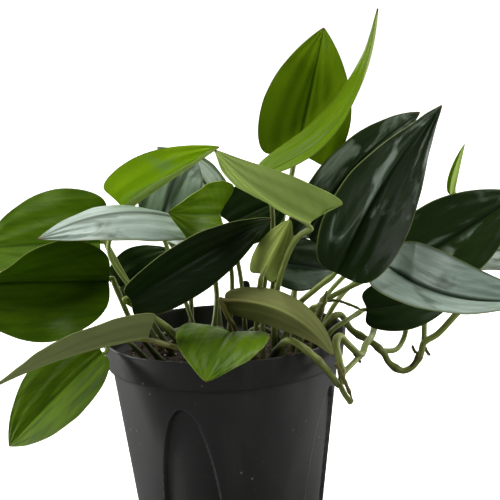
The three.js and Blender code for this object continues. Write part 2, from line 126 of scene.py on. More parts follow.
class Finish:
    """The nodes of a material or a world, ready to take expressions."""

    def __init__(self, owner):
        self.owner = owner
        owner.use_nodes = True
        self.tree = owner.node_tree
        self.tree.nodes.clear()

    def node(self, kind, settings=None, inputs=(), output=0):
        """Adds a node, sets it up, fills its inputs by place or by name, and gives one output."""
        made = self.tree.nodes.new(kind)
        for key, value in (settings or {}).items():
            setattr(made, key, value)
        for key, value in inputs.items() if isinstance(inputs, dict) else enumerate(inputs):
            socket = made.inputs[key]
            if isinstance(value, Value):
                self.tree.links.new(value.socket, socket)
            elif isinstance(value, tuple) and len(value) == 3 and socket.type == "RGBA":
                socket.default_value = (*value, 1)
            else:
                socket.default_value = value
        return Value(self, made.outputs[output]) if made.outputs else None

    def attribute(self, name, output=0):
        return self.node("ShaderNodeAttribute", dict(attribute_name=name), output=output)

    def parts(self, vector):
        made = self.node("ShaderNodeSeparateXYZ", inputs=[vector]).socket.node
        return [Value(self, socket) for socket in made.outputs]

    def place(self):
        return self.node("ShaderNodeTexCoord", output="Object")

    def grain(self, vector, scale, detail=3.0, roughness=0.55, warp=0.0):
        """Noise at one scale, or stretched by a scale of its own along each axis."""
        if isinstance(scale, tuple):
            stretch = dict(operation="MULTIPLY")
            vector, scale = self.node("ShaderNodeVectorMath", stretch, [vector, scale]), 1.0
        inputs = dict(Vector=vector, Scale=scale, Detail=detail, Roughness=roughness, Distortion=warp)
        return self.node("ShaderNodeTexNoise", {}, inputs)

    def cells(self, vector, scale):
        return self.node("ShaderNodeTexVoronoi", {}, {"Vector": vector, "Scale": scale})

    def blend(self, share, first, second):
        settings = dict(data_type="RGBA", clamp_factor=True)
        return self.node("ShaderNodeMix", settings, {0: share, 6: first, 7: second}, output=2)

    def bump(self, height, distance, strength=1.0):
        return self.node("ShaderNodeBump", {}, dict(Strength=strength, Distance=distance, Height=height))

    def principled(self, **inputs):
        named = {key.replace("_", " "): value for key, value in inputs.items()}
        return self.node("ShaderNodeBsdfPrincipled", {}, named)

    def end(self, shader, kind="ShaderNodeOutputMaterial"):
        self.node(kind, {}, {"Surface": shader})
        return self.owner


def new_finish(name):
    return Finish(bpy.data.materials.new(name))


print("shader expressions ready")

# %% [markdown]
# ## Studio
# The plant stands on a pale floor before a white backdrop that curves round behind it, with
# the dark room on the camera's side. So every face that tilts upwards or edgewise mirrors the
# backdrop and shines silver, and the fronts stay deep in colour. Three softboxes give
# the fronts their form, and two small lamps low at the sides draw a line of light along the
# pot. A world that brightens with depth and height is the backdrop.

# %% World, floor and lights
def light_world():
    world = bpy.data.worlds.new("studio")
    bpy.context.scene.world = world
    studio = Finish(world)
    _, back, up = studio.parts(studio.node("ShaderNodeTexCoord", output="Generated"))
    strength = back.step(-0.40, 0.30, 0.01, 1.5) * up.step(-0.35, 0.35, 0.35, 1.0)
    lit = studio.node("ShaderNodeBackground", {}, {"Color": (0.98, 1.0, 0.97), "Strength": strength})
    shown = studio.node("ShaderNodeBackground", {}, {"Color": (1.0, 1.0, 1.0)})
    seen = studio.node("ShaderNodeLightPath", output="Is Camera Ray")
    studio.end(studio.node("ShaderNodeMixShader", {}, {0: seen, 1: lit, 2: shown}), "ShaderNodeOutputWorld")


def softbox(name, place, aim, size, power):
    data = bpy.data.lights.new(name, "AREA")
    data.shape, data.size, data.energy = "DISK", size, power
    lamp = bpy.data.objects.new(name, data)
    lamp.location = place
    lamp.rotation_euler = (Vector(aim) - Vector(place)).to_track_quat("-Z", "Y").to_euler()
    bpy.context.scene.collection.objects.link(lamp)
    return lamp


FLOOR_RADIUS, FLOOR_DROP = 3.0, 0.0002  # the drop keeps the pot's underside clear of the floor


def make_floor():
    finish = new_finish("pale_floor")
    tone = finish.grain(finish.place(), 6.0).step(0.3, 0.7, 0.90, 0.94)
    color = finish.blend(tone, (0.0, 0.0, 0.0), (1.0, 1.0, 1.0))
    shown = finish.principled(
        Base_Color=color, Roughness=0.8, Emission_Color=(1.0, 1.0, 1.0), Emission_Strength=0.45
    )
    felt = finish.node("ShaderNodeBsdfDiffuse", {}, {"Color": (0.22, 0.22, 0.215)})
    seen = finish.node("ShaderNodeLightPath", output="Is Camera Ray")
    bpy.ops.mesh.primitive_circle_add(
        vertices=96, radius=FLOOR_RADIUS, fill_type="NGON", location=(0, 0, -FLOOR_DROP)
    )
    floor = bpy.context.object
    floor.name = "floor"
    floor.data.materials.append(
        finish.end(finish.node("ShaderNodeMixShader", {}, {0: seen, 1: felt, 2: shown}))
    )


light_world()
make_floor()
LAMPS = [
    # name, place, aim, size, watts
    ("softbox_above", (-0.2, 0.1, 1.3), (0, 0, 0.15), 0.5, 8),
    ("softbox_left", (-1.2, -0.75, 0.85), (0, 0, 0.13), 0.35, 9),
    ("softbox_right", (1.15, -0.75, 0.75), (0, 0, 0.13), 0.35, 5.5),
    ("strip_left", (-0.9, 0.14, 0.05), (0, 0, 0.04), 0.22, 5.2),
    ("strip_right", (0.9, 0.14, 0.05), (0, 0, 0.04), 0.22, 3.4),
]
for lamp in LAMPS:
    softbox(*lamp)
bpy.context.scene.view_settings.view_transform = "Standard"
bpy.context.scene.view_settings.look = "Medium High Contrast"
print("floor, world and", len(LAMPS), "lamps in place")

# %% [markdown]
# ## The leaves' shape
# A pothos leaf is a heart with a long tip: its midrib bows, the halves rise from it like a
# shallow book, and the margins roll and wave. It could be sculpted, or bent from a flat
# grid with modifiers. A formula is used here: every point of the blade follows from u, its
# share of the length, and v, its share of the half-width. That keeps each leaf on the
# packed one's midrib, face and outline, and gives the material the same two numbers.

# %% Blade formula
TAPER = 0.9  # how straight the margins run in to the tip
LOBE_PLACE = 0.08  # share of the length at which the basal lobes reach furthest back
BLADE_THICKNESS, MARGIN_THICKNESS = 0.8, 0.35

LEAF_FIELDS = (
    "name tone base tip face width widest fold lobe arch silver light "
    "wave cup twist sweep hook warm"  # given only where a leaf differs from most
)
Leaf = namedtuple("Leaf", LEAF_FIELDS, defaults=(0.4, 0, 0, 0, 0, 0))


def unit(vectors):
    return vectors / np.linalg.norm(vectors, axis=-1, keepdims=True)


def along_each(amounts, direction):
    return np.multiply.outer(amounts, direction)


def ease(x, low, high):
    t = np.clip((x - low) / (high - low), 0, 1)
    return t * t * (3 - 2 * t)


class Blade:
    """A leaf's surface in millimetres."""

    def __init__(self, leaf):
        self.leaf = leaf
        self.base = np.array(leaf.base, float)
        reach = np.array(leaf.tip, float) - self.base
        self.length = np.linalg.norm(reach)
        self.along = reach / self.length
        face = np.array(leaf.face, float)
        self.face = unit(face - self.along * (face @ self.along))
        self.side = np.cross(self.along, self.face)

    def midrib(self, u):
        leaf, bow = self.leaf, 4 * u * (1 - u)
        return (
            self.base
            + along_each(self.length * u, self.along)
            + along_each(leaf.arch * bow + leaf.hook * u**4, self.face)
            + along_each(leaf.sweep * bow, self.side)
        )

    def half_width(self, u):
        widest = self.leaf.widest
        belly = TAPER * widest / (1 - widest)
        return self.leaf.width / 2 * (u / widest) ** belly * ((1 - u) / (1 - widest)) ** TAPER

    def frames(self, u):
        step = 1e-3
        tangent = unit(self.midrib(u + step) - self.midrib(u - step))
        side = unit(self.side - tangent * (tangent @ self.side)[..., None])
        turn = np.radians(self.leaf.twist * (u - 0.5))[..., None]
        side = side * np.cos(turn) + np.cross(tangent, side) * np.sin(turn)
        return tangent, side, np.cross(side, tangent)

    def surface(self, u, v):
        """Points and unit normals of the blade's middle at each pair of u and v."""
        leaf = self.leaf
        tangent, side, up = self.frames(u)
        reach = np.abs(v) * self.half_width(u)
        turn = np.radians(leaf.fold + leaf.cup * np.abs(v) / 2)
        hand = np.sign(v)
        lobe = leaf.lobe * u / LOBE_PLACE * np.exp(1 - u / LOBE_PLACE) * np.abs(v)
        points = (
            self.midrib(u)
            + side * (hand * reach * np.cos(turn))[..., None]
            + up * (reach * np.sin(turn))[..., None]
            - tangent * lobe[..., None]
        )
        return points, unit(up * np.cos(turn)[..., None] - side * (hand * np.sin(turn))[..., None])


print("a blade has", len(LEAF_FIELDS.split()), "numbers and names")

# %% [markdown]
# ## From formula to blade
# A real blade is not a smooth sheet. The midrib is sunk into the upper face and stands out
# as a keel beneath, long soft ripples run beside it where the side veins lie, and the
# margin waves a little. Those are small but they catch the light, so they are moved in the
# mesh itself: an upper and a lower skin, each with its own relief, joined round the margin
# into one closed, thin solid.

# %% Blade mesh
BLADE_STATIONS, BLADE_LANES = 64, 40
ROW_START, ROW_SPAN = 0.004, 0.992  # a blade's rows stop just short of its two pointed ends
CROWDED_ENDS = 0.55  # share of the rows' spacing that closes up towards the ends
CROWDED_MIDRIB = 1.25  # above 1 the lanes lie closer together beside the midrib
PATTERN_UNIT = 20  # millimetres of blade or stalk to one unit of its finish's patterns
USUAL_WIDTH = 46  # width of a leaf whose relief has its stated height
GROOVE_DEPTH, GROOVE_WIDTH = 0.5, 0.85
KEEL_HEIGHT, KEEL_WIDTH = 0.75, 0.8
RIPPLE_HEIGHT, VEIN_HEIGHT = 0.30, 0.04


def blade_relief(blade, u, v, seed):
    """How far the blade's middle is lifted along its normal, the same for both skins."""
    leaf = blade.leaf
    across = np.abs(v)
    hand = np.where(v < 0, 0.37, 0.0)
    body = ease(u, 0.0, 0.12) * ease(1 - u, 0.0, 0.1)
    drift = 0.5 * np.sin(4.1 * u + seed) + 0.35 * np.sin(9.7 * u + 2.3 * seed + 5 * across)
    ripple_phase = 2 * np.pi * (2.6 * across**0.85 + 0.5 * u + hand + seed) + drift
    ripples = np.sin(ripple_phase) * ease(across, 0.03, 0.2)
    veins = np.sin(2 * np.pi * (8.5 * (u - 0.42 * across**1.2) + seed)) * ease(across, 0.05, 0.4)
    size = leaf.width / USUAL_WIDTH
    waves = np.sin(2 * np.pi * (1.7 * u + 2.1 * hand + 0.61 * seed)) + 0.45 * np.sin(
        2 * np.pi * (4.3 * u + hand - 0.4 * seed)
    )
    return body * size * (
        RIPPLE_HEIGHT * ripples * (1 - 0.5 * across) + VEIN_HEIGHT * veins + leaf.wave * across**3 * waves
    )


def placed(name, mesh):
    piece = bpy.data.objects.new(name, mesh)
    bpy.context.scene.collection.objects.link(piece)
    return piece


def smooth_piece(name, points, faces, sharp=None):
    """An object from points in millimetres, smooth apart from edges sharper than an angle."""
    mesh = bpy.data.meshes.new(name)
    mesh.from_pydata((np.array(points, float) * MM).tolist(), [], faces)
    mesh.polygons.foreach_set("use_smooth", np.ones(len(mesh.polygons), bool))
    if sharp:
        mesh.set_sharp_from_angle(angle=math.radians(sharp))
    return placed(name, mesh)


def mark(piece, key, values):
    """Stores a number or a vector at each point of a piece, for its finish to read."""
    values = np.ascontiguousarray(values, np.float32)
    kind, field = ("FLOAT", "value") if values.ndim == 1 else ("FLOAT_VECTOR", "vector")
    piece.data.attributes.new(key, kind, "POINT").data.foreach_set(field, values.ravel())


def closed_sheet(name, upper, lower):
    """A closed thin piece from the grids of points of its two skins."""
    rows, columns = upper.shape[:2]
    count = rows * columns
    index = np.arange(count).reshape(rows, columns)

    def quads(grid):
        return np.stack([grid[:-1, :-1], grid[:-1, 1:], grid[1:, 1:], grid[1:, :-1]], -1).reshape(-1, 4)

    ring = np.concatenate([index[0, :-1], index[:-1, -1], index[-1, :0:-1], index[:0:-1, 0]])
    after = np.roll(ring, -1)
    edge = np.stack([ring, ring + count, after + count, after], -1)
    faces = np.concatenate([quads(index), quads(index + count)[:, ::-1], edge])
    points = np.concatenate([upper.reshape(-1, 3), lower.reshape(-1, 3)])
    return smooth_piece(name, points, faces.tolist(), sharp=65)


def make_leaf(leaf, seed):
    blade = Blade(leaf)
    i = np.linspace(0, 1, BLADE_STATIONS + 1)
    eased_rows = (1 - CROWDED_ENDS) * i + CROWDED_ENDS * (1 - np.cos(np.pi * i)) / 2
    rows = ROW_START + ROW_SPAN * eased_rows
    j = np.linspace(-1, 1, BLADE_LANES + 1)
    lanes = np.sign(j) * np.abs(j) ** CROWDED_MIDRIB
    u, v = np.meshgrid(rows, lanes, indexing="ij")
    points, normals = blade.surface(u, v)
    points = points + normals * blade_relief(blade, u, v, seed)[..., None]
    from_rib = np.abs(v) * blade.half_width(u)
    thin = BLADE_THICKNESS + (MARGIN_THICKNESS - BLADE_THICKNESS) * np.abs(v)
    groove = GROOVE_DEPTH * np.exp(-((from_rib / GROOVE_WIDTH) ** 2)) * (1 - u) ** 0.4
    keel = KEEL_HEIGHT * np.exp(-((from_rib / KEEL_WIDTH) ** 2)) * (1 - 0.9 * u)
    upper = points + normals * (thin / 2 - groove)[..., None]
    lower = points - normals * (thin / 2 + keel)[..., None]
    piece = closed_sheet(leaf.name + "_blade", upper, lower)
    place = (v * blade.half_width(u) / PATTERN_UNIT, u * blade.length / PATTERN_UNIT, seed)
    look = (leaf.silver, leaf.light, leaf.warm)
    for key, *skins in (("blade", (v, u, 1), (v, u, 0)), ("look", look, look), ("sheet", place, place)):
        grids = [np.stack(np.broadcast_arrays(*skin, u)[:3], -1) for skin in skins]
        mark(piece, key, np.concatenate([grid.reshape(-1, 3) for grid in grids]))
    return piece


print("leaf mesh:", 2 * (BLADE_STATIONS + 1) * (BLADE_LANES + 1), "points each")

# %% [markdown]
# ## The leaves' finish
# Satin pothos is dark green, with silvery, slightly metallic scales that lie in streaks along
# the blade, a waxy sheen over them, a thin pale margin and matte, paler undersides. Young
# leaves are yellower. On the dark leaves the pale scale patches are partly painted highlights
# that stand in for glare, and the dark line down the midrib is painted shade in its groove.
# One function makes the four leaf finishes, and the numbers stored in each
# mesh, where a point lies on its blade and how silvery (with painted glare), light and warm its
# leaf is, make every leaf its own. A share of translucent shader lets light from behind warm the blade.

# %% Leaf finishes
def leaf_finish(name, deep, fair, under, rib_shade, glow, glow_share, gloss, shine, scale):
    finish = new_finish(name)
    across, along, upper = finish.parts(finish.attribute("blade", output=1))
    silver, light, warm = finish.parts(finish.attribute("look", output=1))
    sheet = finish.attribute("sheet", output=1)
    out = across.size()

    streaks = finish.grain(sheet, (7.0, 0.9, 3.0), detail=4.0, warp=0.4)
    patches = finish.grain(sheet, (1.6, 0.8, 5.0), detail=3.0, warp=0.8)
    pores = finish.grain(sheet, 60.0, detail=2.0)
    side_veins = (along - out * 0.42) * 17.0
    veins = finish.node("ShaderNodeMath", dict(operation="PINGPONG"), [side_veins, 1.0]).step(0.86, 1.0)
    veins = veins * out.step(0.02, 0.2) * out.step(1.0, 0.8)

    green = finish.blend(streaks.step(0.25, 0.75) * 0.26, deep, fair)
    green = finish.blend(light, green, fair)
    green = finish.blend(veins * 0.06, green, tuple(1.5 * c for c in fair))
    green = finish.blend(warm, green, (0.20, 0.19, 0.02))
    cut = 0.66 - silver * 0.4
    # partly painted highlight: on the satin leaves the patches are real silver scales, and on the dark leaves
    # they also stand in for glare
    scales_and_glare = patches.step(cut, cut + 0.18) * (0.45 + streaks.step(0.3, 0.65) * 0.35 + pores * 0.3)
    scales_and_glare = scales_and_glare * (silver * 2.6).math("MINIMUM", 0.9)
    scales_and_glare = scales_and_glare * out.step(0.03, 0.16) * out.step(1.0, 0.88) * along.step(1.0, 0.88)
    face = finish.blend(scales_and_glare, green, scale)
    # painted shade: a dark line down the midrib stands in for the shade in its sunken groove
    rib_groove_shade = out.step(0.055, 0.018)
    face = finish.blend(rib_groove_shade * 0.75, face, rib_shade)
    margin = out.step(0.962, 0.992)
    face = finish.blend(margin * 0.7, face, (0.16, 0.20, 0.05))

    back = finish.blend(patches.step(0.3, 0.7) * 0.5, under, tuple(0.72 * c for c in under))
    back = finish.blend(veins * 0.15, back, tuple(0.62 * c for c in under))
    back = finish.blend(out.step(0.09, 0.03) * 0.7, back, tuple(1.45 * c for c in under))
    back = finish.blend(warm, back, (0.135, 0.128, 0.058))
    back = finish.blend(light * light * 0.5, back, (0.50, 0.54, 0.34))
    color = finish.blend(upper, back, face)
    dry = along.step(0.965, 0.995) + (margin * pores.step(0.56, 0.66)) * 0.7
    color = finish.blend(dry.math("MINIMUM", 1.0), color, (0.13, 0.065, 0.018))

    rough = (0.62 - upper * (0.62 - gloss)) + pores * 0.08 - scales_and_glare * 0.04
    relief = streaks * 0.8 + pores * 0.3 + veins * 0.12
    shader = finish.principled(
        Base_Color=color,
        Roughness=rough,
        Specular_IOR_Level=shine,
        Normal=finish.bump(relief, 0.00035, 0.55),
    )
    through = finish.node("ShaderNodeBsdfTranslucent", {}, {"Color": glow})
    return finish.end(finish.node("ShaderNodeMixShader", {}, {0: glow_share, 1: shader, 2: through}))


# The scale colour is the scales' silver and also the colour of painted glare on the dark leaves; the rib
# colour is painted shade down the midrib.
LEAF_FINISHES = {
    "mature": leaf_finish(
        "leaf_mature", deep=(0.012, 0.027, 0.006), fair=(0.045, 0.078, 0.022), under=(0.19, 0.23, 0.08),
        rib_shade=(0.014, 0.024, 0.008), glow=(0.08, 0.18, 0.01), glow_share=0.10, gloss=0.30,
        shine=0.18, scale=(0.33, 0.40, 0.33),
    ),
    "satin": leaf_finish(
        "leaf_satin", deep=(0.030, 0.055, 0.030), fair=(0.080, 0.120, 0.070), under=(0.16, 0.20, 0.08),
        rib_shade=(0.02, 0.03, 0.035), glow=(0.10, 0.22, 0.02), glow_share=0.12, gloss=0.34,
        shine=0.5, scale=(0.32, 0.40, 0.345),
    ),
    "fresh": leaf_finish(
        "leaf_fresh", deep=(0.050, 0.112, 0.001), fair=(0.24, 0.37, 0.010), under=(0.42, 0.52, 0.14),
        rib_shade=(0.045, 0.10, 0.003), glow=(0.18, 0.36, 0.01), glow_share=0.14, gloss=0.34,
        shine=0.12, scale=(0.20, 0.28, 0.14),
    ),
    "young": leaf_finish(
        "leaf_young", deep=(0.060, 0.112, 0.003), fair=(0.34, 0.52, 0.018), under=(0.50, 0.66, 0.15),
        rib_shade=(0.08, 0.15, 0.006), glow=(0.35, 0.55, 0.02), glow_share=0.18, gloss=0.33,
        shine=0.16, scale=(0.26, 0.36, 0.18),
    ),
}
print("leaf finishes:", ", ".join(LEAF_FINISHES))

# %% [markdown]
# ## The leaves
# Each row is one leaf: its name and tone, the ends of its midrib, the side its face looks to,
# its size, how it folds and bows, how silver, light and warm it looks, from none to full, and
# where it differs from most, how it curls, twists and hooks and how high its margin waves.
# On the dark leaves the silver number also sets painted highlights, pale patches that stand in for glare.

# %% Leaf table
LEAVES = [
    Leaf("leaf_left_back", "fresh", (-62.5, 6, 159), (-129.5, 30, 154), (-0.3, -1, 0.25),
         width=58, widest=0.3, fold=10, lobe=9, arch=3, silver=0.02, light=0.08, cup=-8, wave=0.6),
    Leaf("leaf_left_front", "fresh", (-55, -30, 145), (-144, -43.5, 150), (0.11, -0.88, -0.46),
         width=60, widest=0.38, fold=33, lobe=4, arch=-2, silver=0.0, light=0.05, cup=-8, twist=-90,
         sweep=-1, wave=0.8),
    Leaf("leaf_satin_left", "satin", (-10.5, -19, 170), (-84.5, -60, 173), (0.05, -0.34, 1),
         width=42, widest=0.42, fold=-8, lobe=5, arch=10, silver=1.0, light=0.9, cup=-14),
    Leaf("leaf_arching", "young", (-48.5, 0, 176), (2, 8, 206), (-0.42, -0.6, 0.72),
         width=40, widest=0.26, fold=48, lobe=6, arch=0, silver=0.3, light=0.8, wave=0.5),
    Leaf("leaf_curled", "young", (1, -16, 174.5), (-23, -46, 181), (0.76, -0.64, -0.12),
         width=37, widest=0.32, fold=12, lobe=7, arch=3, silver=0.0, light=0.15, cup=6, wave=0.8),
    Leaf("leaf_dark_center", "mature", (-42, -67, 143.5), (27, -27, 173), (0.56, -0.8, -0.21),
         width=33, widest=0.36, fold=20, lobe=6, arch=1, silver=0.0, light=0.0, cup=-8, sweep=-2),
    Leaf("leaf_pale_back_turned", "young", (44, -63, 176), (1.5, -87.5, 215), (0.17, 0.74, 0.65),
         width=38, widest=0.18, fold=36, lobe=10, arch=-6, silver=0.1, light=0.65, twist=47, wave=0.5),
    Leaf("leaf_tall", "fresh", (25.5, -14, 194.5), (84.5, -1, 273.5), (-0.78, -0.17, 0.61),
         width=39, widest=0.41, fold=12, lobe=6, arch=-20, silver=0.15, light=0.2, twist=-35, sweep=-12,
         warm=0.1, wave=0.3),
    Leaf("leaf_top_back", "fresh", (42.5, 32, 198), (59.5, 36, 264), (0.1, -1, 0.15),
         width=49, widest=0.3, fold=8, lobe=7, arch=3, silver=0.05, light=0.75, cup=-4, wave=0.5),
    Leaf("leaf_dark_upper_right", "mature", (44.5, 12, 157.5), (108.5, 26, 218), (0.41, -0.88, -0.23),
         width=37, widest=0.34, fold=14, lobe=9, arch=3, silver=0.5, light=0.3, cup=-8, sweep=-9),
    Leaf("leaf_dark_front_right", "mature", (57.5, -45, 147), (113, -10, 224.5), (0.54, -0.84, 0),
         width=48, widest=0.33, fold=20, lobe=4, arch=-2, silver=0.3, light=0.08, cup=-10, twist=41,
         sweep=-3, hook=3),
    Leaf("leaf_right_back", "mature", (95, 8, 137), (161.5, 24, 173), (0.1, -0.97, 0.24),
         width=46, widest=0.34, fold=14, lobe=8, arch=1, silver=0.3, light=0.4, cup=-6),
    Leaf("leaf_satin_right", "satin", (84.5, -22, 145.5), (159, -60, 135), (-0.28, -0.57, 0.78),
         width=40, widest=0.27, fold=32, lobe=4, arch=1, silver=1.0, light=0.6, cup=-8, twist=-14,
         sweep=12),
    Leaf("leaf_right_far_back", "satin", (125.5, 34, 138), (183.5, 48, 130), (0, -0.4, 1),
         width=44, widest=0.34, fold=8, lobe=7, arch=5, silver=0.6, light=0.3, cup=-8, wave=0.5),
    Leaf("leaf_right_low", "mature", (74.5, -6, 120), (121.5, 2, 121), (0, -0.9, 0.4),
         width=28, widest=0.36, fold=6, lobe=4, arch=3, silver=0.0, light=0.15, cup=-6),
    Leaf("leaf_low_left_back_turned", "fresh", (-34.5, -62, 124), (-104.5, -88, 110), (0.25, 0.36, 0.85),
         width=44, widest=0.22, fold=28, lobe=6, arch=3, silver=0.1, light=0.75, warm=0.5, wave=0.5),
    Leaf("leaf_hanging_left", "young", (-60, -36, 110.5), (-110.5, -34, 63), (-0.4, -0.9, 0.45),
         width=40, widest=0.4, fold=20, lobe=4, arch=2, silver=0.02, light=0.0, cup=-8),
    Leaf("leaf_over_rim", "young", (4.5, -44, 120), (-7.5, -82, 106), (0, -0.36, 0.95),
         width=46, widest=0.34, fold=14, lobe=3, arch=4, silver=0.05, light=0.0, cup=-10),
    Leaf("leaf_front_back_turned", "fresh", (2, -49, 137), (53, -72, 113), (0.26, 0.91, -0.31),
         width=26, widest=0.34, fold=48, lobe=3, arch=2, silver=0.1, light=0.1, sweep=8, warm=0.8),
    Leaf("leaf_inner", "mature", (5.5, 6, 166), (37.5, 12, 178), (0.1, -1, 0.4),
         width=32, widest=0.34, fold=6, lobe=7, arch=3, silver=0.05, light=0.1, cup=-6),
    Leaf("leaf_inner_left", "satin", (-30.5, 6, 168), (-14.5, 24, 204), (-0.2, -1, 0.3),
         width=34, widest=0.4, fold=10, lobe=4, arch=3, silver=0.6, light=0.3, cup=-6),
    Leaf("leaf_low_left_inner", "mature", (-54.5, 17, 132), (-26.5, 24, 150), (-0.2, -1, 0.4),
         width=28, widest=0.36, fold=10, lobe=5, arch=3, silver=0.2, light=0.1, cup=-6),
    Leaf("leaf_behind_petioles", "fresh", (21, -40, 147.5), (36, -38, 174), (0.01, 0.99, -0.16),
         width=20, widest=0.32, fold=30, lobe=3, arch=2, silver=0.1, light=0.1, warm=0.25, wave=0.3),
    Leaf("leaf_back_left", "mature", (-4, 36, 177.5), (-33.5, 58, 202), (0.2, -0.25, 1),
         width=32, widest=0.32, fold=8, lobe=6, arch=4, silver=0.5, light=1.0, cup=-8, wave=0.5),
    Leaf("leaf_back", "satin", (-6.5, 58, 142), (-26.5, 128, 128), (0, 0.5, 0.9),
         width=52, widest=0.32, fold=8, lobe=8, arch=8, silver=0.6, light=0.3, cup=-8, wave=0.7),
    Leaf("leaf_back_right", "mature", (49.5, 52, 148), (89.5, 112, 142), (0.1, 0.3, 1),
         width=50, widest=0.32, fold=10, lobe=8, arch=8, silver=0.3, light=0.2, cup=-8, wave=0.7),
    Leaf("leaf_furled", "young", (127.5, 44, 170), (134.5, 44, 198), (-0.9, -0.3, 0.2),
         width=9, widest=0.3, fold=60, lobe=0, arch=0, silver=0.1, light=0.5, wave=0.0),
    Leaf("leaf_striped", "satin", (30.5, -5, 146.5), (60, -1, 139.5), (0.2, -0.93, 0.31),
         width=28, widest=0.34, fold=10, lobe=5, arch=2, silver=0.45, light=0.25, cup=-8, wave=0.3),
]

# %% Make the leaves
SEED_STEP = 0.37  # sets the ripples and patterns of one leaf apart from the next


def hand_over(piece, finish, node=None):
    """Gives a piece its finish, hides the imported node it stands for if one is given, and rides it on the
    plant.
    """
    piece.data.materials.append(finish)
    if node:
        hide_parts(node)
    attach(piece, "root")


for count, leaf in enumerate(LEAVES):
    hand_over(make_leaf(leaf, SEED_STEP * count), LEAF_FINISHES[leaf.tone], leaf.name)
print("leaves:", len(LEAVES))

# %% [markdown]
# ## Petioles and vines
# Every leaf hangs from a fleshy stalk, the petiole, that swells where it leaves the vine and
# again where it meets the blade, and the trailing vines are thicker, with a brown ring at each
# joint. Such stalks could be bevelled curves. Here they are tubes in mesh code along the same
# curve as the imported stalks, because a tube can change its radius anywhere and can run on
# under the blade as its keel, so that no stalk ends in mid-air.

# %% Curves and tubes
STEM_ROUND = 16  # sides of a stalk
DOMED_END = 0.4  # how far a stalk's end stands out, as a share of its radius


def smooth_path(points, count):
    """Points along a centripetal Catmull-Rom curve, which passes through each given point without loops."""
    points = np.array(points, float)
    ends = np.concatenate([[2 * points[0] - points[1]], points, [2 * points[-1] - points[-2]]])
    made = []
    for t in np.linspace(0, len(points) - 1, count):
        k = min(int(t), len(points) - 2)
        w = t - k
        p0, p1, p2, p3 = ends[k : k + 4]
        d0, d1, d2 = (max(np.linalg.norm(b - a), 1e-6) ** 0.5 for a, b in ((p0, p1), (p1, p2), (p2, p3)))
        m1 = ((p1 - p0) / d0 - (p2 - p0) / (d0 + d1) + (p2 - p1) / d1) * d1
        m2 = ((p2 - p1) / d1 - (p3 - p1) / (d1 + d2) + (p3 - p2) / d2) * d1
        made.append(
            p1 + m1 * w + (3 * p2 - 3 * p1 - 2 * m1 - m2) * w**2 + (2 * p1 - 2 * p2 + m1 + m2) * w**3
        )
    return np.array(made)


def tube(name, path, radii, look):
    """A closed tube along a path, of the given radius at each point, all in millimetres."""
    path, radii = np.array(path, float), np.array(radii, float)
    steps = np.linalg.norm(np.diff(path, axis=0), axis=1)
    run = np.concatenate([[0], np.cumsum(steps)])
    tangents = unit(np.gradient(path, run, axis=0))
    helper = np.array([0.0, 0.0, 1.0]) if abs(tangents[0][2]) < 0.9 else np.array([1.0, 0.0, 0.0])
    across = unit(np.cross(tangents[0], helper))
    rings = []
    angles = np.linspace(0, 2 * np.pi, STEM_ROUND, endpoint=False)
    for point, tangent, radius in zip(path, tangents, radii):
        across = unit(across - tangent * (across @ tangent))
        other = np.cross(tangent, across)
        circle = along_each(np.cos(angles), across) + along_each(np.sin(angles), other)
        rings.append(point + radius * circle)
    first = path[:1] - tangents[:1] * radii[0] * DOMED_END
    last = path[-1:] + tangents[-1:] * radii[-1] * DOMED_END
    points = np.concatenate([*rings, first, last])
    count, sides = len(path), STEM_ROUND
    low, high = count * sides, count * sides + 1
    faces = []
    for i in range(0, low - sides, sides):
        for j in range(sides):
            a, b = i + j, i + (j + 1) % sides
            faces.append((a, b, b + sides, a + sides))
    for j in range(sides):
        k = (j + 1) % sides
        faces += [(low, k, j), (high, low - sides + j, low - sides + k)]
    piece = smooth_piece(name, points, faces)
    share = np.concatenate([np.repeat(run, sides), [0, run[-1]]])
    turn = np.concatenate([np.tile(angles, count), [0, 0]])
    stalk = np.stack([np.cos(turn), share / PATTERN_UNIT, np.sin(turn)], -1)
    mark(piece, "stalk", stalk)
    mark(piece, "look", np.broadcast_to(look, stalk.shape))
    return piece, share


def mark_joints(piece, share, joints, reach=1.6):
    """Stores how near each point is to one of the stalk's joints, for the brown rings."""
    near = [np.exp(-(((share - place) / reach) ** 2)) for place in joints]
    mark(piece, "joint", np.max(near, axis=0))


print("stalks have", STEM_ROUND, "sides")

# %% [markdown]
# ## The stalks' finish
# Stalks are olive green with faint lengthwise lines, yellower near the leaf, brown and corky at
# the joints, with a soft waxy shine. Low down inside the pot they are painted dark, as painted
# shade under the leaves. The joints come from a number stored at each point, so the
# brown follows the swelling wherever it is.

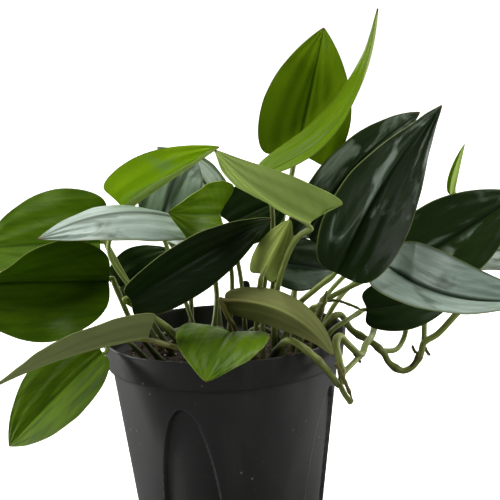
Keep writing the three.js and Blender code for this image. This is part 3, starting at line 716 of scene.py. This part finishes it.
# %% Stem finish
def stem_finish():
    finish = new_finish("stem")
    stalk = finish.attribute("stalk", output=1)
    joint = finish.attribute("joint", output=2)
    brown, light, warm = finish.parts(finish.attribute("look", output=1))
    lines = finish.grain(stalk, (5.0, 0.8, 5.0), detail=4.0)
    blotches = finish.grain(stalk, 3.0, detail=3.0)
    green = finish.blend(lines.step(0.3, 0.7), (0.115, 0.150, 0.022), (0.29, 0.35, 0.085))
    green = finish.blend(light, green, (0.36, 0.44, 0.16))
    green = finish.blend(warm, green, (0.20, 0.15, 0.05))
    x, y, z = finish.parts(finish.place())  # metres
    # painted shade: stalks low down within the pot's radius are painted almost black, in place of the shade
    # under the leaves
    painted_shade_in_pot = (x * x + y * y).step(0.0036, 0.0028) * z.step(0.150, 0.100)
    green = finish.blend(painted_shade_in_pot * 0.72, green, (0.022, 0.022, 0.008))
    corky = (joint * blotches.step(0.35, 0.65) * 0.8 + brown).math("MINIMUM", 1.0)
    color = finish.blend(corky * 0.85, green, (0.10, 0.058, 0.026))
    rough = 0.38 + corky * 0.4 + lines * 0.08
    relief = lines * 0.6 + corky * blotches
    return finish.end(
        finish.principled(Base_Color=color, Roughness=rough, Normal=finish.bump(relief, 0.0003, 0.6))
    )


STEM = stem_finish()
print("stem finish ready")

# %% [markdown]
# ## The stalks
# A petiole's row names its leaf, its radius, its foot and the points it passes through above.
# Its path starts under the soil, ends at the leaf's base and then follows the blade's
# underside, thinning out. The vines' rows are whole paths, with joints at chosen lengths and
# the paths of their branches.

# %% Stalk tables
FOOT_HEIGHT = 98.8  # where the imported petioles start, just above the mix
PETIOLES = [
    # leaf, radius, place of the foot, points above it
    ("left_back", 1.5, (-28.5, 6), [(-44.5, 5, 128)]),
    ("left_front", 1.5, (-32.5, -14), [(-44.5, -20, 118)]),
    ("satin_left", 1.4, (-8.5, -12), [(-2.5, -13, 135)]),
    ("arching", 1.3, (-18.5, -2), [(-42.5, 0, 128), (-57.5, -2, 157)]),
    ("curled", 1.3, (1.5, 4), [(5.5, 0, 140)]),
    ("dark_center", 1.5, (-14.5, -32), [(-22.5, -44, 120)]),
    ("pale_back_turned", 1.5, (25.5, -22), [(27, -34, 132), (32.5, -50, 156), (38.5, -60, 169)]),
    ("tall", 1.4, (19.5, -10), [(21.5, -12, 132), (27.5, -12, 165)]),
    ("top_back", 1.4, (27.5, 18), [(31.5, 27, 150)]),
    ("dark_upper_right", 1.5, (35.5, 4), [(40, 17, 140)]),
    ("dark_front_right", 1.6, (27.5, -28), [(35.5, -32, 126), (47.5, -42, 140)]),
    ("right_back", 1.5, (49.5, 16), [(59.5, 22, 116), (71.5, 27, 127)]),
    ("satin_right", 1.5, (37.5, -14), [(45.5, -17, 122)]),
    ("right_low", 1.4, (45.5, -24), [(55, -21, 112.6), (63, -16, 116.5)]),
    ("low_left_back_turned", 1.4, (-6.5, -42), [(-15.5, -54, 113)]),
    ("hanging_left", 1.3, (-36.5, -22), [(-50.5, -30, 115.5), (-57, -33.5, 114.5)]),
    ("over_rim", 1.3, (-2.5, -27), [(0.5, -36, 112)]),
    ("front_back_turned", 1.4, (10, -30), [(6, -37, 121), (3.5, -46, 128)]),
    ("inner", 1.3, (11.5, 8), [(9.5, 10, 140)]),
    ("inner_left", 1.3, (-12.5, 10), [(-24.5, 12, 140)]),
    ("low_left_inner", 1.3, (-34.5, 16), [(-45.5, 19, 118)]),
    ("behind_petioles", 1.3, (15, -25), [(17, -30.5, 120)]),
    ("back_left", 1.5, (-18.5, 30), [(-16, 38, 140)]),
    ("back", 1.5, (-2.5, 36), [(-4.5, 48, 125)]),
    ("back_right", 1.5, (33.5, 34), [(41.5, 44, 130)]),
    ("furled", 1.4, (43.5, 24), [(55.5, 34, 118), (81.5, 44, 140), (111.5, 49, 162)]),
    ("striped", 1.4, (29, 8), [(25, 1, 118)]),
]
# two petioles aren't named after the whole name of their leaf
SHORT_NAMES = {"low_left_back_turned": "low_left", "behind_petioles": "behind"}
VINES = [
    ("vine_front_right", 1.8, [20, 44, 52, 76, 92],
     [(22, -36, 98.9), (27, -46, 111), (33, -53, 117), (45, -52, 107.5), (53.5, -50, 96.5),
      (56.5, -49, 92.5), (58, -48, 96.5), (57, -47, 105.5), (56, -44, 113), (58, -41, 115),
      (63, -38, 109), (68.5, -35, 103.5), (72, -25, 106), (77, -8, 106.5), (81, 6, 113)],
     [[(56.5, -49, 93.5), (59, -51, 88), (62, -52, 84)],
      [(58, -48, 97.5), (62.5, -43, 100), (68, -36, 103)]]),
    ("vine_loop", 1.8, [26, 46, 58, 72, 88],
     [(46, -2, 98.9), (53, 0, 110), (61, 3, 115.5), (67.5, 4, 106.5), (78, 0, 100),
      (83.5, -2, 94.5), (86, -4, 90), (93, -4, 85.5), (98.5, -3, 87.5), (103, -2, 94.5),
      (104.5, -2, 99.5), (112, 0, 103.5), (122, 2, 113), (125.5, 3, 116)],
     [[(104.5, -2, 98.5), (105.5, 2, 108), (106, 4, 113.5)],
      [(81.5, -1, 96), (90.5, 4, 95), (95, 8, 99.5), (97, 10, 106), (97.5, 11, 111)]]),
]

# %% Make the stalks
SOIL_DEPTH = 6  # how far a stalk's visible mesh goes on down into the soil
RUN_ON = (0.02, 0.06, 0.12, 0.2)  # shares of the midrib that the stalk runs on under
SUNK = (1.5, 1.05, 0.8, 0.6)  # how far below the midrib it lies there

leaf_by_name = {leaf.name: leaf for leaf in LEAVES}


def petiole_path(leaf, radius, foot, points):
    """The points of a petiole, and how many of them come before it meets the blade."""
    blade = Blade(leaf)
    end = blade.base - 1.5 * blade.along - (radius + 1.2) * blade.face
    start = np.array([*foot, FOOT_HEIGHT - SOIL_DEPTH], float)
    under = [blade.midrib(np.array(u)) - blade.face * sink for u, sink in zip(RUN_ON, SUNK)]
    free = smooth_path([(*foot, FOOT_HEIGHT), *points, end], 40)
    joined = smooth_path([free[-3], end, *under], 22)
    return np.concatenate([[start], free[:-3], joined]), len(free) - 2


for name, radius, foot, points in PETIOLES:
    leaf = leaf_by_name["leaf_" + name]
    path, free = petiole_path(leaf, radius, foot, points)
    t = np.linspace(0, 1, free)
    radii = radius * (1.28 - 0.38 * ease(t, 0.02, 0.3) + 0.12 * ease(t, 0.86, 0.97))
    tail = radius * np.linspace(1.0, 0.18, len(path) - free)
    look = (0.0, 0.35 if leaf.tone == "young" else 0.1, leaf.warm)
    node = "petiole_" + SHORT_NAMES.get(name, name)
    piece, share = tube(node + "_stalk", path, np.concatenate([radii, tail]), look)
    mark_joints(piece, share, [SOIL_DEPTH])
    hand_over(piece, STEM, node)


def vine_tube(name, path, radius, joints, thin=1.0):
    run = np.concatenate([[0], np.cumsum(np.linalg.norm(np.diff(path, axis=0), axis=1))])
    swell = sum(np.exp(-(((run - place) / 2.2) ** 2)) for place in joints)
    radii = radius * np.linspace(1, thin, len(run)) * (0.95 + 0.28 * swell)
    piece, share = tube(name, path, radii, (0.0, 0.15, 0.1))
    mark_joints(piece, share, joints)
    return piece


def merged(pieces):
    """Joins pieces into the first of them, so that they are one object."""
    first = pieces[0]
    with bpy.context.temp_override(
        object=first, active_object=first, selected_editable_objects=pieces, selected_objects=pieces
    ):
        bpy.ops.object.join()
    return first


BRANCH_TAPER = 0.85  # a branch's radius as a share of its vine's
for name, radius, joints, points, branches in VINES:
    x, y, z = points[0]
    path = smooth_path([(x, y, z - SOIL_DEPTH), *points], 150)
    pieces = [vine_tube(name + "_stalk", path, radius, joints)]
    for count, branch in enumerate(branches):
        way = smooth_path(branch, 40)
        length = np.linalg.norm(np.diff(way, axis=0), axis=1).sum()
        pieces.append(vine_tube(f"{name}_branch_{count}", way, radius * BRANCH_TAPER, [length], 0.9))
    hand_over(merged(pieces), STEM, name)
print("stalks:", len(PETIOLES) + len(VINES))

# %% [markdown]
# ## The pot
# A nursery pot is blown or pressed from thin black plastic: a tapering body, four arched panels
# pressed in to stiffen it, and a plain band for a rim, which steps out over the body. It could
# be a lathe with booleans, but a cut leaves hard edges where the plastic has soft ones. So the
# wall is a grid in angle and height whose radius is worked out at each point, and the panels'
# edges are eased over a millimetre or so.

# %% Pot wall
POT_HEIGHT, SHOULDER = 110, 95
BASE_RADIUS, BODY_TOP_RADIUS, RIM_FOOT_RADIUS, RIM_RADIUS = 47, 59, 61.4, 63.1
WALL, FLOOR_THICKNESS = 1.4, 2
PANEL_COUNT, PANEL_AZIMUTH, PANEL_HALF, PANEL_TOP, PANEL_DEPTH = 4, -112, 16.5, 84, 2.3
ARCH_POWER = 2.5  # two divided by the arch's sharpness
PANEL_SOFTNESS = 0.7  # millimetres over which a panel's edge is eased
POT_COLUMNS = 480


def pressed_in(angle, height, radius, margin=0.0):
    """How far the arched panels press the wall in, from none to their whole depth."""
    depth = np.zeros_like(angle)
    half, crown = PANEL_HALF + margin, PANEL_TOP + margin
    for k in range(PANEL_COUNT):
        away = angle - math.radians(PANEL_AZIMUTH + k * 360 / PANEL_COUNT)
        x, z = radius * np.sin(away), np.maximum(height, 0.01)
        inside = (x / half) ** 2 + (z / crown) ** ARCH_POWER - 1
        slope = np.hypot(2 * x / half**2, ARCH_POWER * z ** (ARCH_POWER - 1) / crown**ARCH_POWER)
        distance = inside / np.maximum(slope, 1e-4)
        depth = np.maximum(depth, np.where(np.cos(away) > 0, 1 - ease(distance, -PANEL_SOFTNESS, 0.25), 0))
    return PANEL_DEPTH * depth


def out_of_true(angle, height):
    """The slight ovalness and dents of thin plastic, growing towards the rim."""
    lift = (height / POT_HEIGHT) ** 2
    waves = 0.5 * np.cos(2 * angle + 0.6) + 0.16 * np.sin(3 * angle + 1.0) + 0.08 * np.sin(7 * angle)
    return lift * waves


def pot_rings():
    """Radius and height of each ring, from the underside's edge up the outside and down the inside."""
    body = [(BASE_RADIUS - 1.2, 0), (BASE_RADIUS - 0.5, 0.12), (BASE_RADIUS - 0.1, 0.55)]
    heights = np.concatenate([np.linspace(1.2, 78, 60), np.linspace(79, 86, 12), np.linspace(87.5, 94, 5)])
    body += [(BASE_RADIUS + (BODY_TOP_RADIUS - BASE_RADIUS) * h / SHOULDER, h) for h in heights]
    under = [(BODY_TOP_RADIUS + out, h) for out, h in ((0.02, 94.6), (0.3, 94.9), (1.5, 95.0))]
    foot = [(RIM_FOOT_RADIUS + out, h) for out, h in ((-0.3, 95.12), (-0.05, 95.4), (0.06, 95.9))]
    slope = (RIM_RADIUS - RIM_FOOT_RADIUS) / 13
    band = [(RIM_FOOT_RADIUS + 0.06 + slope * (h - 96), h) for h in np.linspace(97, 108, 8)]
    lip = ((0.0, 108.9), (0.12, 109.2), (0.16, 109.55), (0.05, 109.85), (-0.2, 110.0), (-0.5, 109.96))
    lip += ((-1.0, 109.7), (-1.25, 109.2), (-1.4, 108.4), (-1.9, 104))
    lip += ((-2.6, 99), (-3.05, 97.2), (-3.9, 96.5))
    lip += ((-4.9, 96.0), (-5.45, 95.4), (-5.6, 94), (-6.5, 86))
    edge = [(RIM_RADIUS + out, h) for out, h in lip]
    rim, inner = under + foot + band + edge[:6], edge[6:]
    inner += [
        (BASE_RADIUS + (BODY_TOP_RADIUS - BASE_RADIUS) * h / SHOULDER - WALL, h) for h in (84, 78, 60, 40, 20)
    ]
    return body, rim, inner + [(BASE_RADIUS - WALL, 4), (BASE_RADIUS - WALL - 0.6, 2.4)]


def make_pot():
    body, rim, inner = pot_rings()
    rings = np.array(body + rim + inner, float)
    outside = len(body) + len(rim)
    angle = np.linspace(0, 2 * np.pi, POT_COLUMNS, endpoint=False)
    turn, _ = np.meshgrid(angle, rings[:, 0])
    radius = np.repeat(rings[:, :1], POT_COLUMNS, 1)
    height = np.repeat(rings[:, 1:], POT_COLUMNS, 1)
    pressed = pressed_in(turn, height, radius)
    pressed[outside:] = pressed_in(turn, height, radius, margin=WALL)[outside:]
    radius = radius - pressed + out_of_true(turn, height)
    points = np.stack([radius * np.cos(turn), radius * np.sin(turn), height], -1)
    rows = len(rings)
    index = np.arange(rows * POT_COLUMNS).reshape(rows, POT_COLUMNS)
    after = np.roll(index, -1, 1)
    faces = np.stack([index[:-1], after[:-1], after[1:], index[1:]], -1).reshape(-1, 4)
    pot = smooth_piece("pot_shell", points.reshape(-1, 3), faces.tolist())
    ends = bmesh.new()
    ends.from_mesh(pot.data)
    ends.verts.ensure_lookup_table()
    for ring in (index[0][::-1], index[-1]):
        ends.faces.new([ends.verts[i] for i in ring])
    ends.to_mesh(pot.data)
    ends.free()
    return pot


pot = make_pot()
print("pot faces:", len(pot.data.polygons))

# %% Drain holes
DRAIN_HOLES, DRAIN_RADIUS, DRAIN_CIRCLE = 8, 3.5, 30


def cut(piece, cutter):
    """Subtracts one mesh from another and removes the cutter."""
    modifier = piece.modifiers.new("cut", "BOOLEAN")
    modifier.operation, modifier.solver, modifier.object = "DIFFERENCE", "EXACT", cutter
    bpy.context.view_layer.objects.active = piece
    with bpy.context.temp_override(object=piece, active_object=piece):
        bpy.ops.object.modifier_apply(modifier=modifier.name)
    bpy.data.objects.remove(cutter)


punch = bmesh.new()
for k in range(DRAIN_HOLES):
    angle = 2 * math.pi * (k + 0.5) / DRAIN_HOLES
    middle = Vector((math.cos(angle), math.sin(angle), 0)) * DRAIN_CIRCLE * MM
    bmesh.ops.create_cone(
        punch, cap_ends=True, segments=32, radius1=DRAIN_RADIUS * MM, radius2=DRAIN_RADIUS * MM,
        depth=4 * FLOOR_THICKNESS * MM, matrix=Matrix.Translation(middle + Vector((0, 0, 0.001))),
    )
punch_mesh = bpy.data.meshes.new("punch")
punch.to_mesh(punch_mesh)
punch.free()
cut(pot, placed("punch", punch_mesh))
pot.data.polygons.foreach_set("use_smooth", np.ones(len(pot.data.polygons), bool))
pot.data.set_sharp_from_angle(angle=math.radians(42))
print("drain holes:", DRAIN_HOLES, "pot faces:", len(pot.data.polygons))

# %% [markdown]
# ## The pot's finish
# The plastic is charcoal rather than black, matte with a faint grain from its mould. Handling
# leaves pale dusty smears, most of all under the rim and near the foot, scuffs along the rim's
# edges, and a few scratches. All of that is noise in the object's own coordinates, weighted by
# height and, for the edges, by how sharply the surface turns. The rim band is painted darker
# than the body, as painted shade from the leaves that hang over it.

# %% Pot finish
def pot_finish():
    finish = new_finish("pot_plastic")
    place = finish.place()
    z = finish.parts(place)[2]
    fine = finish.grain(place, 900.0, detail=2.0)
    smears = finish.grain(place, (26.0, 26.0, 9.0), detail=5.0, roughness=0.6, warp=0.6)
    specks = finish.grain(place, 260.0, detail=4.0, roughness=0.7)
    streaks = finish.grain(place, (60.0, 60.0, 420.0), detail=3.0, warp=0.4)
    scratches = finish.grain(place, (900.0, 900.0, 30.0), detail=2.0, warp=1.2)
    drops = finish.cells(place, 190.0).step(0.16, 0.08) * finish.grain(place, 60.0).step(0.56, 0.62)
    edge = finish.node("ShaderNodeNewGeometry", output="Pointiness").step(0.515, 0.56)
    foot = z.step(0.030, 0.0)
    dust = smears.step(0.48, 0.78) * 0.45 + specks.step(0.60, 0.74) * 0.45
    dust = dust + foot * smears.step(0.4, 0.7) * 0.3
    dust = dust + streaks.step(0.62, 0.8) * 0.16 + scratches.step(0.70, 0.80) * 0.14
    plastic = finish.blend(smears, (0.006, 0.006, 0.0064), (0.020, 0.020, 0.0205))
    scuffs_and_rim_shade = finish.blend(edge * (0.35 + specks * 0.5), plastic, (0.13, 0.13, 0.13))
    # painted shade: everything above the rim's step is painted darker, standing in for the shade of the
    # leaves over the rim
    scuffs_and_rim_shade = finish.blend(z.step(0.0948, 0.0955) * 0.7, scuffs_and_rim_shade, (0.003, 0.003, 0.003))
    color = finish.blend((dust * 0.36).math("MINIMUM", 1.0), scuffs_and_rim_shade, (0.15, 0.135, 0.115))
    color = finish.blend(drops * 0.5, color, (0.30, 0.30, 0.29))
    rough = 0.46 + smears * 0.14 + dust * 0.22 - edge * 0.06
    relief = fine * 0.35 + smears * 0.5 - scratches.step(0.7, 0.8) * 0.4
    return finish.end(
        finish.principled(
            Base_Color=color, Roughness=rough, Specular_IOR_Level=0.8,
            Normal=finish.bump(relief, 0.00025, 0.5),
        )
    )


hand_over(pot, pot_finish(), "pot")
print("pot finished")

# %% [markdown]
# ## Potting mix
# The mix is dark peat with fibres, lumps of bark and white grains of perlite. Its body is one
# closed solid whose top is pushed up and down by noise, because that is what shows between the
# stalks. The lumps are small chips made from one box-like shape by seeded turns and
# sizes, pressed half into the surface.

# %% Soil body
SOIL_TOP, SOIL_EDGE = 98, 57  # height of the middle, and radius of the top
SOIL_FALL, FALL_RADIUS = 1.6, 57.2  # how far the top has fallen at that radius
SOIL_SIDE = ((55.8, 92), (42.6, 3.0))  # radius and height of the two rings below the top
SOIL_RINGS, SOIL_COLUMNS = 44, 160


def soil_height(x, y):
    """Height of the mix at a point, in millimetres."""
    r = math.hypot(x, y)
    slope = SOIL_TOP - SOIL_FALL * (r / FALL_RADIUS) ** 2.2
    lumps = 1.5 * noise.noise(Vector((x / 11, y / 11, 3.1)))
    lumps += 0.9 * noise.noise(Vector((x / 4.2, y / 4.2, 7.7)))
    return slope - 0.6 + lumps + 0.5 * noise.noise(Vector((x / 1.7, y / 1.7, 1.3)))


def make_soil():
    points, faces = [(0, 0, soil_height(0, 0))], []
    for i in range(1, SOIL_RINGS + 1):
        r = SOIL_EDGE * i / SOIL_RINGS
        for j in range(SOIL_COLUMNS):
            a = 2 * math.pi * j / SOIL_COLUMNS
            x, y = r * math.cos(a), r * math.sin(a)
            points.append((x, y, soil_height(x, y)))
    for r, z in SOIL_SIDE:
        for j in range(SOIL_COLUMNS):
            a = 2 * math.pi * j / SOIL_COLUMNS
            push = float(pressed_in(np.array(a), np.array(float(z)), np.array(float(r)), margin=2.0))
            points.append(((r - push) * math.cos(a), (r - push) * math.sin(a), z))
    for j in range(SOIL_COLUMNS):
        faces.append((0, 1 + j, 1 + (j + 1) % SOIL_COLUMNS))
    rows = SOIL_RINGS + 2
    for i in range(rows - 1):
        for j in range(SOIL_COLUMNS):
            a = 1 + i * SOIL_COLUMNS + j
            b = 1 + i * SOIL_COLUMNS + (j + 1) % SOIL_COLUMNS
            faces.append((a, a + SOIL_COLUMNS, b + SOIL_COLUMNS, b))
    last = 1 + (rows - 1) * SOIL_COLUMNS
    faces.append([last + j for j in range(SOIL_COLUMNS)][::-1])
    return smooth_piece("soil_body", points, faces, sharp=60)


soil = make_soil()
print("soil faces:", len(soil.data.polygons))

# %% Chips of bark and grains of perlite
CHIPS, GRAINS, CHIPS_REACH = 420, 90, 55  # how many of each, and how far from the middle
chance = np.random.default_rng(11)


def scatter(name, count, low, high, thick):
    """Small faceted lumps, each turned and sized by chance, lying on the mix, in one mesh."""
    made = bmesh.new()
    for _ in range(count):
        r, a = CHIPS_REACH * math.sqrt(chance.random()), 2 * math.pi * chance.random()
        x, y = r * math.cos(a), r * math.sin(a)
        size = low + (high - low) * chance.random() ** 2
        turn = Matrix.Rotation(6.28 * chance.random(), 4, "Z")
        turn = turn @ Matrix.Rotation(chance.normal(0, 0.35), 4, "X")
        scale = Matrix.Diagonal((size, size * (0.35 + 0.5 * chance.random()), size * thick, 1))
        spot = Matrix.Translation((x, y, soil_height(x, y) + 0.15 * size))
        before = len(made.verts)
        bmesh.ops.create_icosphere(made, subdivisions=1, radius=0.5, matrix=spot @ turn @ scale)
        made.verts.ensure_lookup_table()
        for vert in made.verts[before:]:
            vert.co += Vector(chance.normal(0, 0.05 * size, 3))
    for vert in made.verts:
        vert.co *= MM
    mesh = bpy.data.meshes.new(name)
    made.to_mesh(mesh)
    made.free()
    return placed(name, mesh)


bark = scatter("soil_bark", CHIPS, 1.2, 5.5, 0.4)
perlite = scatter("soil_perlite", GRAINS, 0.8, 2.2, 0.8)
print("chips:", CHIPS, "grains:", GRAINS)

# %% Soil finishes
def soil_finish(name, dark, pale, specks, rough):
    finish = new_finish(name)
    place = finish.place()
    lumps = finish.grain(place, 180.0, detail=6.0, roughness=0.65)
    fibres = finish.grain(place, (500.0, 2400.0, 900.0), detail=3.0, warp=1.5)
    cells = finish.cells(place, 700.0)
    color = finish.blend(lumps.step(0.3, 0.7), dark, pale)
    color = finish.blend(fibres.step(0.62, 0.72) * specks, color, (0.16, 0.10, 0.05))
    relief = lumps + fibres * 0.4 + cells * 0.4
    return finish.end(
        finish.principled(
            Base_Color=color, Roughness=rough + lumps * 0.1, Normal=finish.bump(relief, 0.0008, 0.8)
        )
    )


peat = soil_finish("potting_mix", (0.010, 0.006, 0.004), (0.038, 0.022, 0.013), 0.7, 0.85)
bark_finish = soil_finish("potting_mix_bark", (0.022, 0.012, 0.007), (0.10, 0.055, 0.028), 0.4, 0.75)
perlite_finish = soil_finish("potting_mix_perlite", (0.34, 0.32, 0.28), (0.62, 0.60, 0.55), 0.05, 0.8)
hand_over(soil, peat, "soil")
hand_over(bark, bark_finish)
hand_over(perlite, perlite_finish)
print("soil finished")

# %% [markdown]
# ## Plant label
# A narrow black plastic label stands in the mix behind the stalks. It is a thin plate with a
# rounded top, made here as an outline that is extruded and then bevelled, so its edges catch
# a line of light. It carries no lettering.

# %% Label
LABEL_WIDTH, LABEL_THICKNESS, LABEL_HEIGHT = 5, 1.2, 29.6
LABEL_PLACE, LABEL_TURN = (12, 41, 98.4), 12  # the turn in degrees
LABEL_BEVEL = 0.25


def make_label():
    half, shoulder = LABEL_WIDTH / 2, LABEL_HEIGHT - LABEL_WIDTH / 2
    arc_angles = [math.pi * k / 16 for k in range(17)]
    arc = [(half * math.cos(a), shoulder + half * math.sin(a)) for a in arc_angles]
    outline = [(-half * 0.7, -5), (half * 0.7, -5), (half, 0), *arc, (-half, 0)]
    made = bmesh.new()
    front = [made.verts.new((x * MM, 0, z * MM)) for x, z in outline]
    face = made.faces.new(front)
    moved = bmesh.ops.extrude_face_region(made, geom=[face])
    back = [v for v in moved["geom"] if isinstance(v, bmesh.types.BMVert)]
    bmesh.ops.translate(made, verts=back, vec=(0, -LABEL_THICKNESS * MM, 0))
    bmesh.ops.recalc_face_normals(made, faces=made.faces)
    rims = [e for e in made.edges if e.calc_face_angle(0) > 1.2]
    bmesh.ops.bevel(made, geom=rims, offset=LABEL_BEVEL * MM, segments=3, affect="EDGES")
    place = Matrix.Translation(Vector(LABEL_PLACE) * MM) @ Matrix.Rotation(math.radians(LABEL_TURN), 4, "Z")
    bmesh.ops.transform(made, matrix=place, verts=made.verts)
    mesh = bpy.data.meshes.new("plant_label_plate")
    made.to_mesh(mesh)
    made.free()
    return placed("plant_label_plate", mesh)


def label_finish():
    finish = new_finish("label_plastic")
    place = finish.place()
    haze = finish.grain(place, 220.0, detail=4.0)
    color = finish.blend(haze.step(0.35, 0.75), (0.008, 0.008, 0.009), (0.03, 0.03, 0.032))
    return finish.end(
        finish.principled(
            Base_Color=color, Roughness=0.28 + haze * 0.2, Normal=finish.bump(haze, 0.0001, 0.4)
        )
    )


hand_over(make_label(), label_finish(), "plant_label")
print("label finished")

# %% [markdown]
# ## Small growth
# Between the vines there is finer growth: short roots at the joints, a thin twig with a dry
# tip, a dried sheath and old stalks that lie on the mix. They are the same kind of tube as the
# stalks, each from a row of points, with a share of brown for the dry ones.

# %% Roots, twigs and old stalks
SMALL_GROWTH = [
    # name, radius, brown, light, points
    ("twig_thin", 0.75, 0.15, 0.1,
     [(50.5, -15, 126.5), (58, -16, 127.5), (65.5, -17, 125), (72, -18, 122)]),
    ("twig_dry", 1.0, 0.8, 0.0, [(55, -50.5, 104), (57.5, -51.5, 99), (59.5, -53, 94), (62.5, -54, 86)]),
    ("root_low", 0.8, 0.9, 0.0, [(97.5, -4, 88), (99.5, -6, 91.5), (101.5, -6, 94)]),
    ("root_mid", 0.8, 0.9, 0.0, [(102, -2, 93.5), (99.5, -3, 95.5), (98, -4, 99.5)]),
    ("root_far", 0.85, 0.8, 0.0, [(104.5, -2, 98.5), (106.5, -1, 94), (108, 0, 92)]),
    ("root_near", 0.8, 0.9, 0.0, [(64, -37, 107), (67, -38, 102), (68.5, -38, 100)]),
    ("old_stalk_back", 1.6, 0.1, 0.0,
     [(-38, 30, 100), (-30, 30, 103), (-20, 28, 105), (-4, 26, 105), (3, 25, 100)]),
    ("old_stalk_front", 1.3, 0.2, 0.0, [(-31, 18, 99), (-24, 18, 102.5), (-16, 18, 103), (-8, 18, 99)]),
    ("old_stalk_right", 1.2, 0.1, 0.1, [(8, 20, 99), (13, 20, 104), (20, 20, 106), (27, 21, 101)]),
    ("pale_stalk", 1.5, 0.0, 0.5, [(38, -29, 99), (39.5, -30, 115), (43, -34, 126), (50, -38, 131.5)]),
    ("dry_sheath", 2.0, 0.45, 0.1, [(46, -19, 99), (48, -20, 117), (50, -24, 125.5), (53, -28, 135)]),
]

for name, radius, brown, light, points in SMALL_GROWTH:
    path = smooth_path(points, 26)
    end = 1 - 0.75 * ease(np.linspace(0, 1, len(path)), 0.8, 1.0)
    knobs = 1 + 0.12 * np.sin(np.arange(len(path)) * 1.3)
    piece, share = tube(name, path, radius * end * knobs, (brown, light, 0.1))
    mark_joints(piece, share, [float(share.max())], reach=3.0)
    hand_over(piece, STEM)
print("small growth:", len(SMALL_GROWTH))
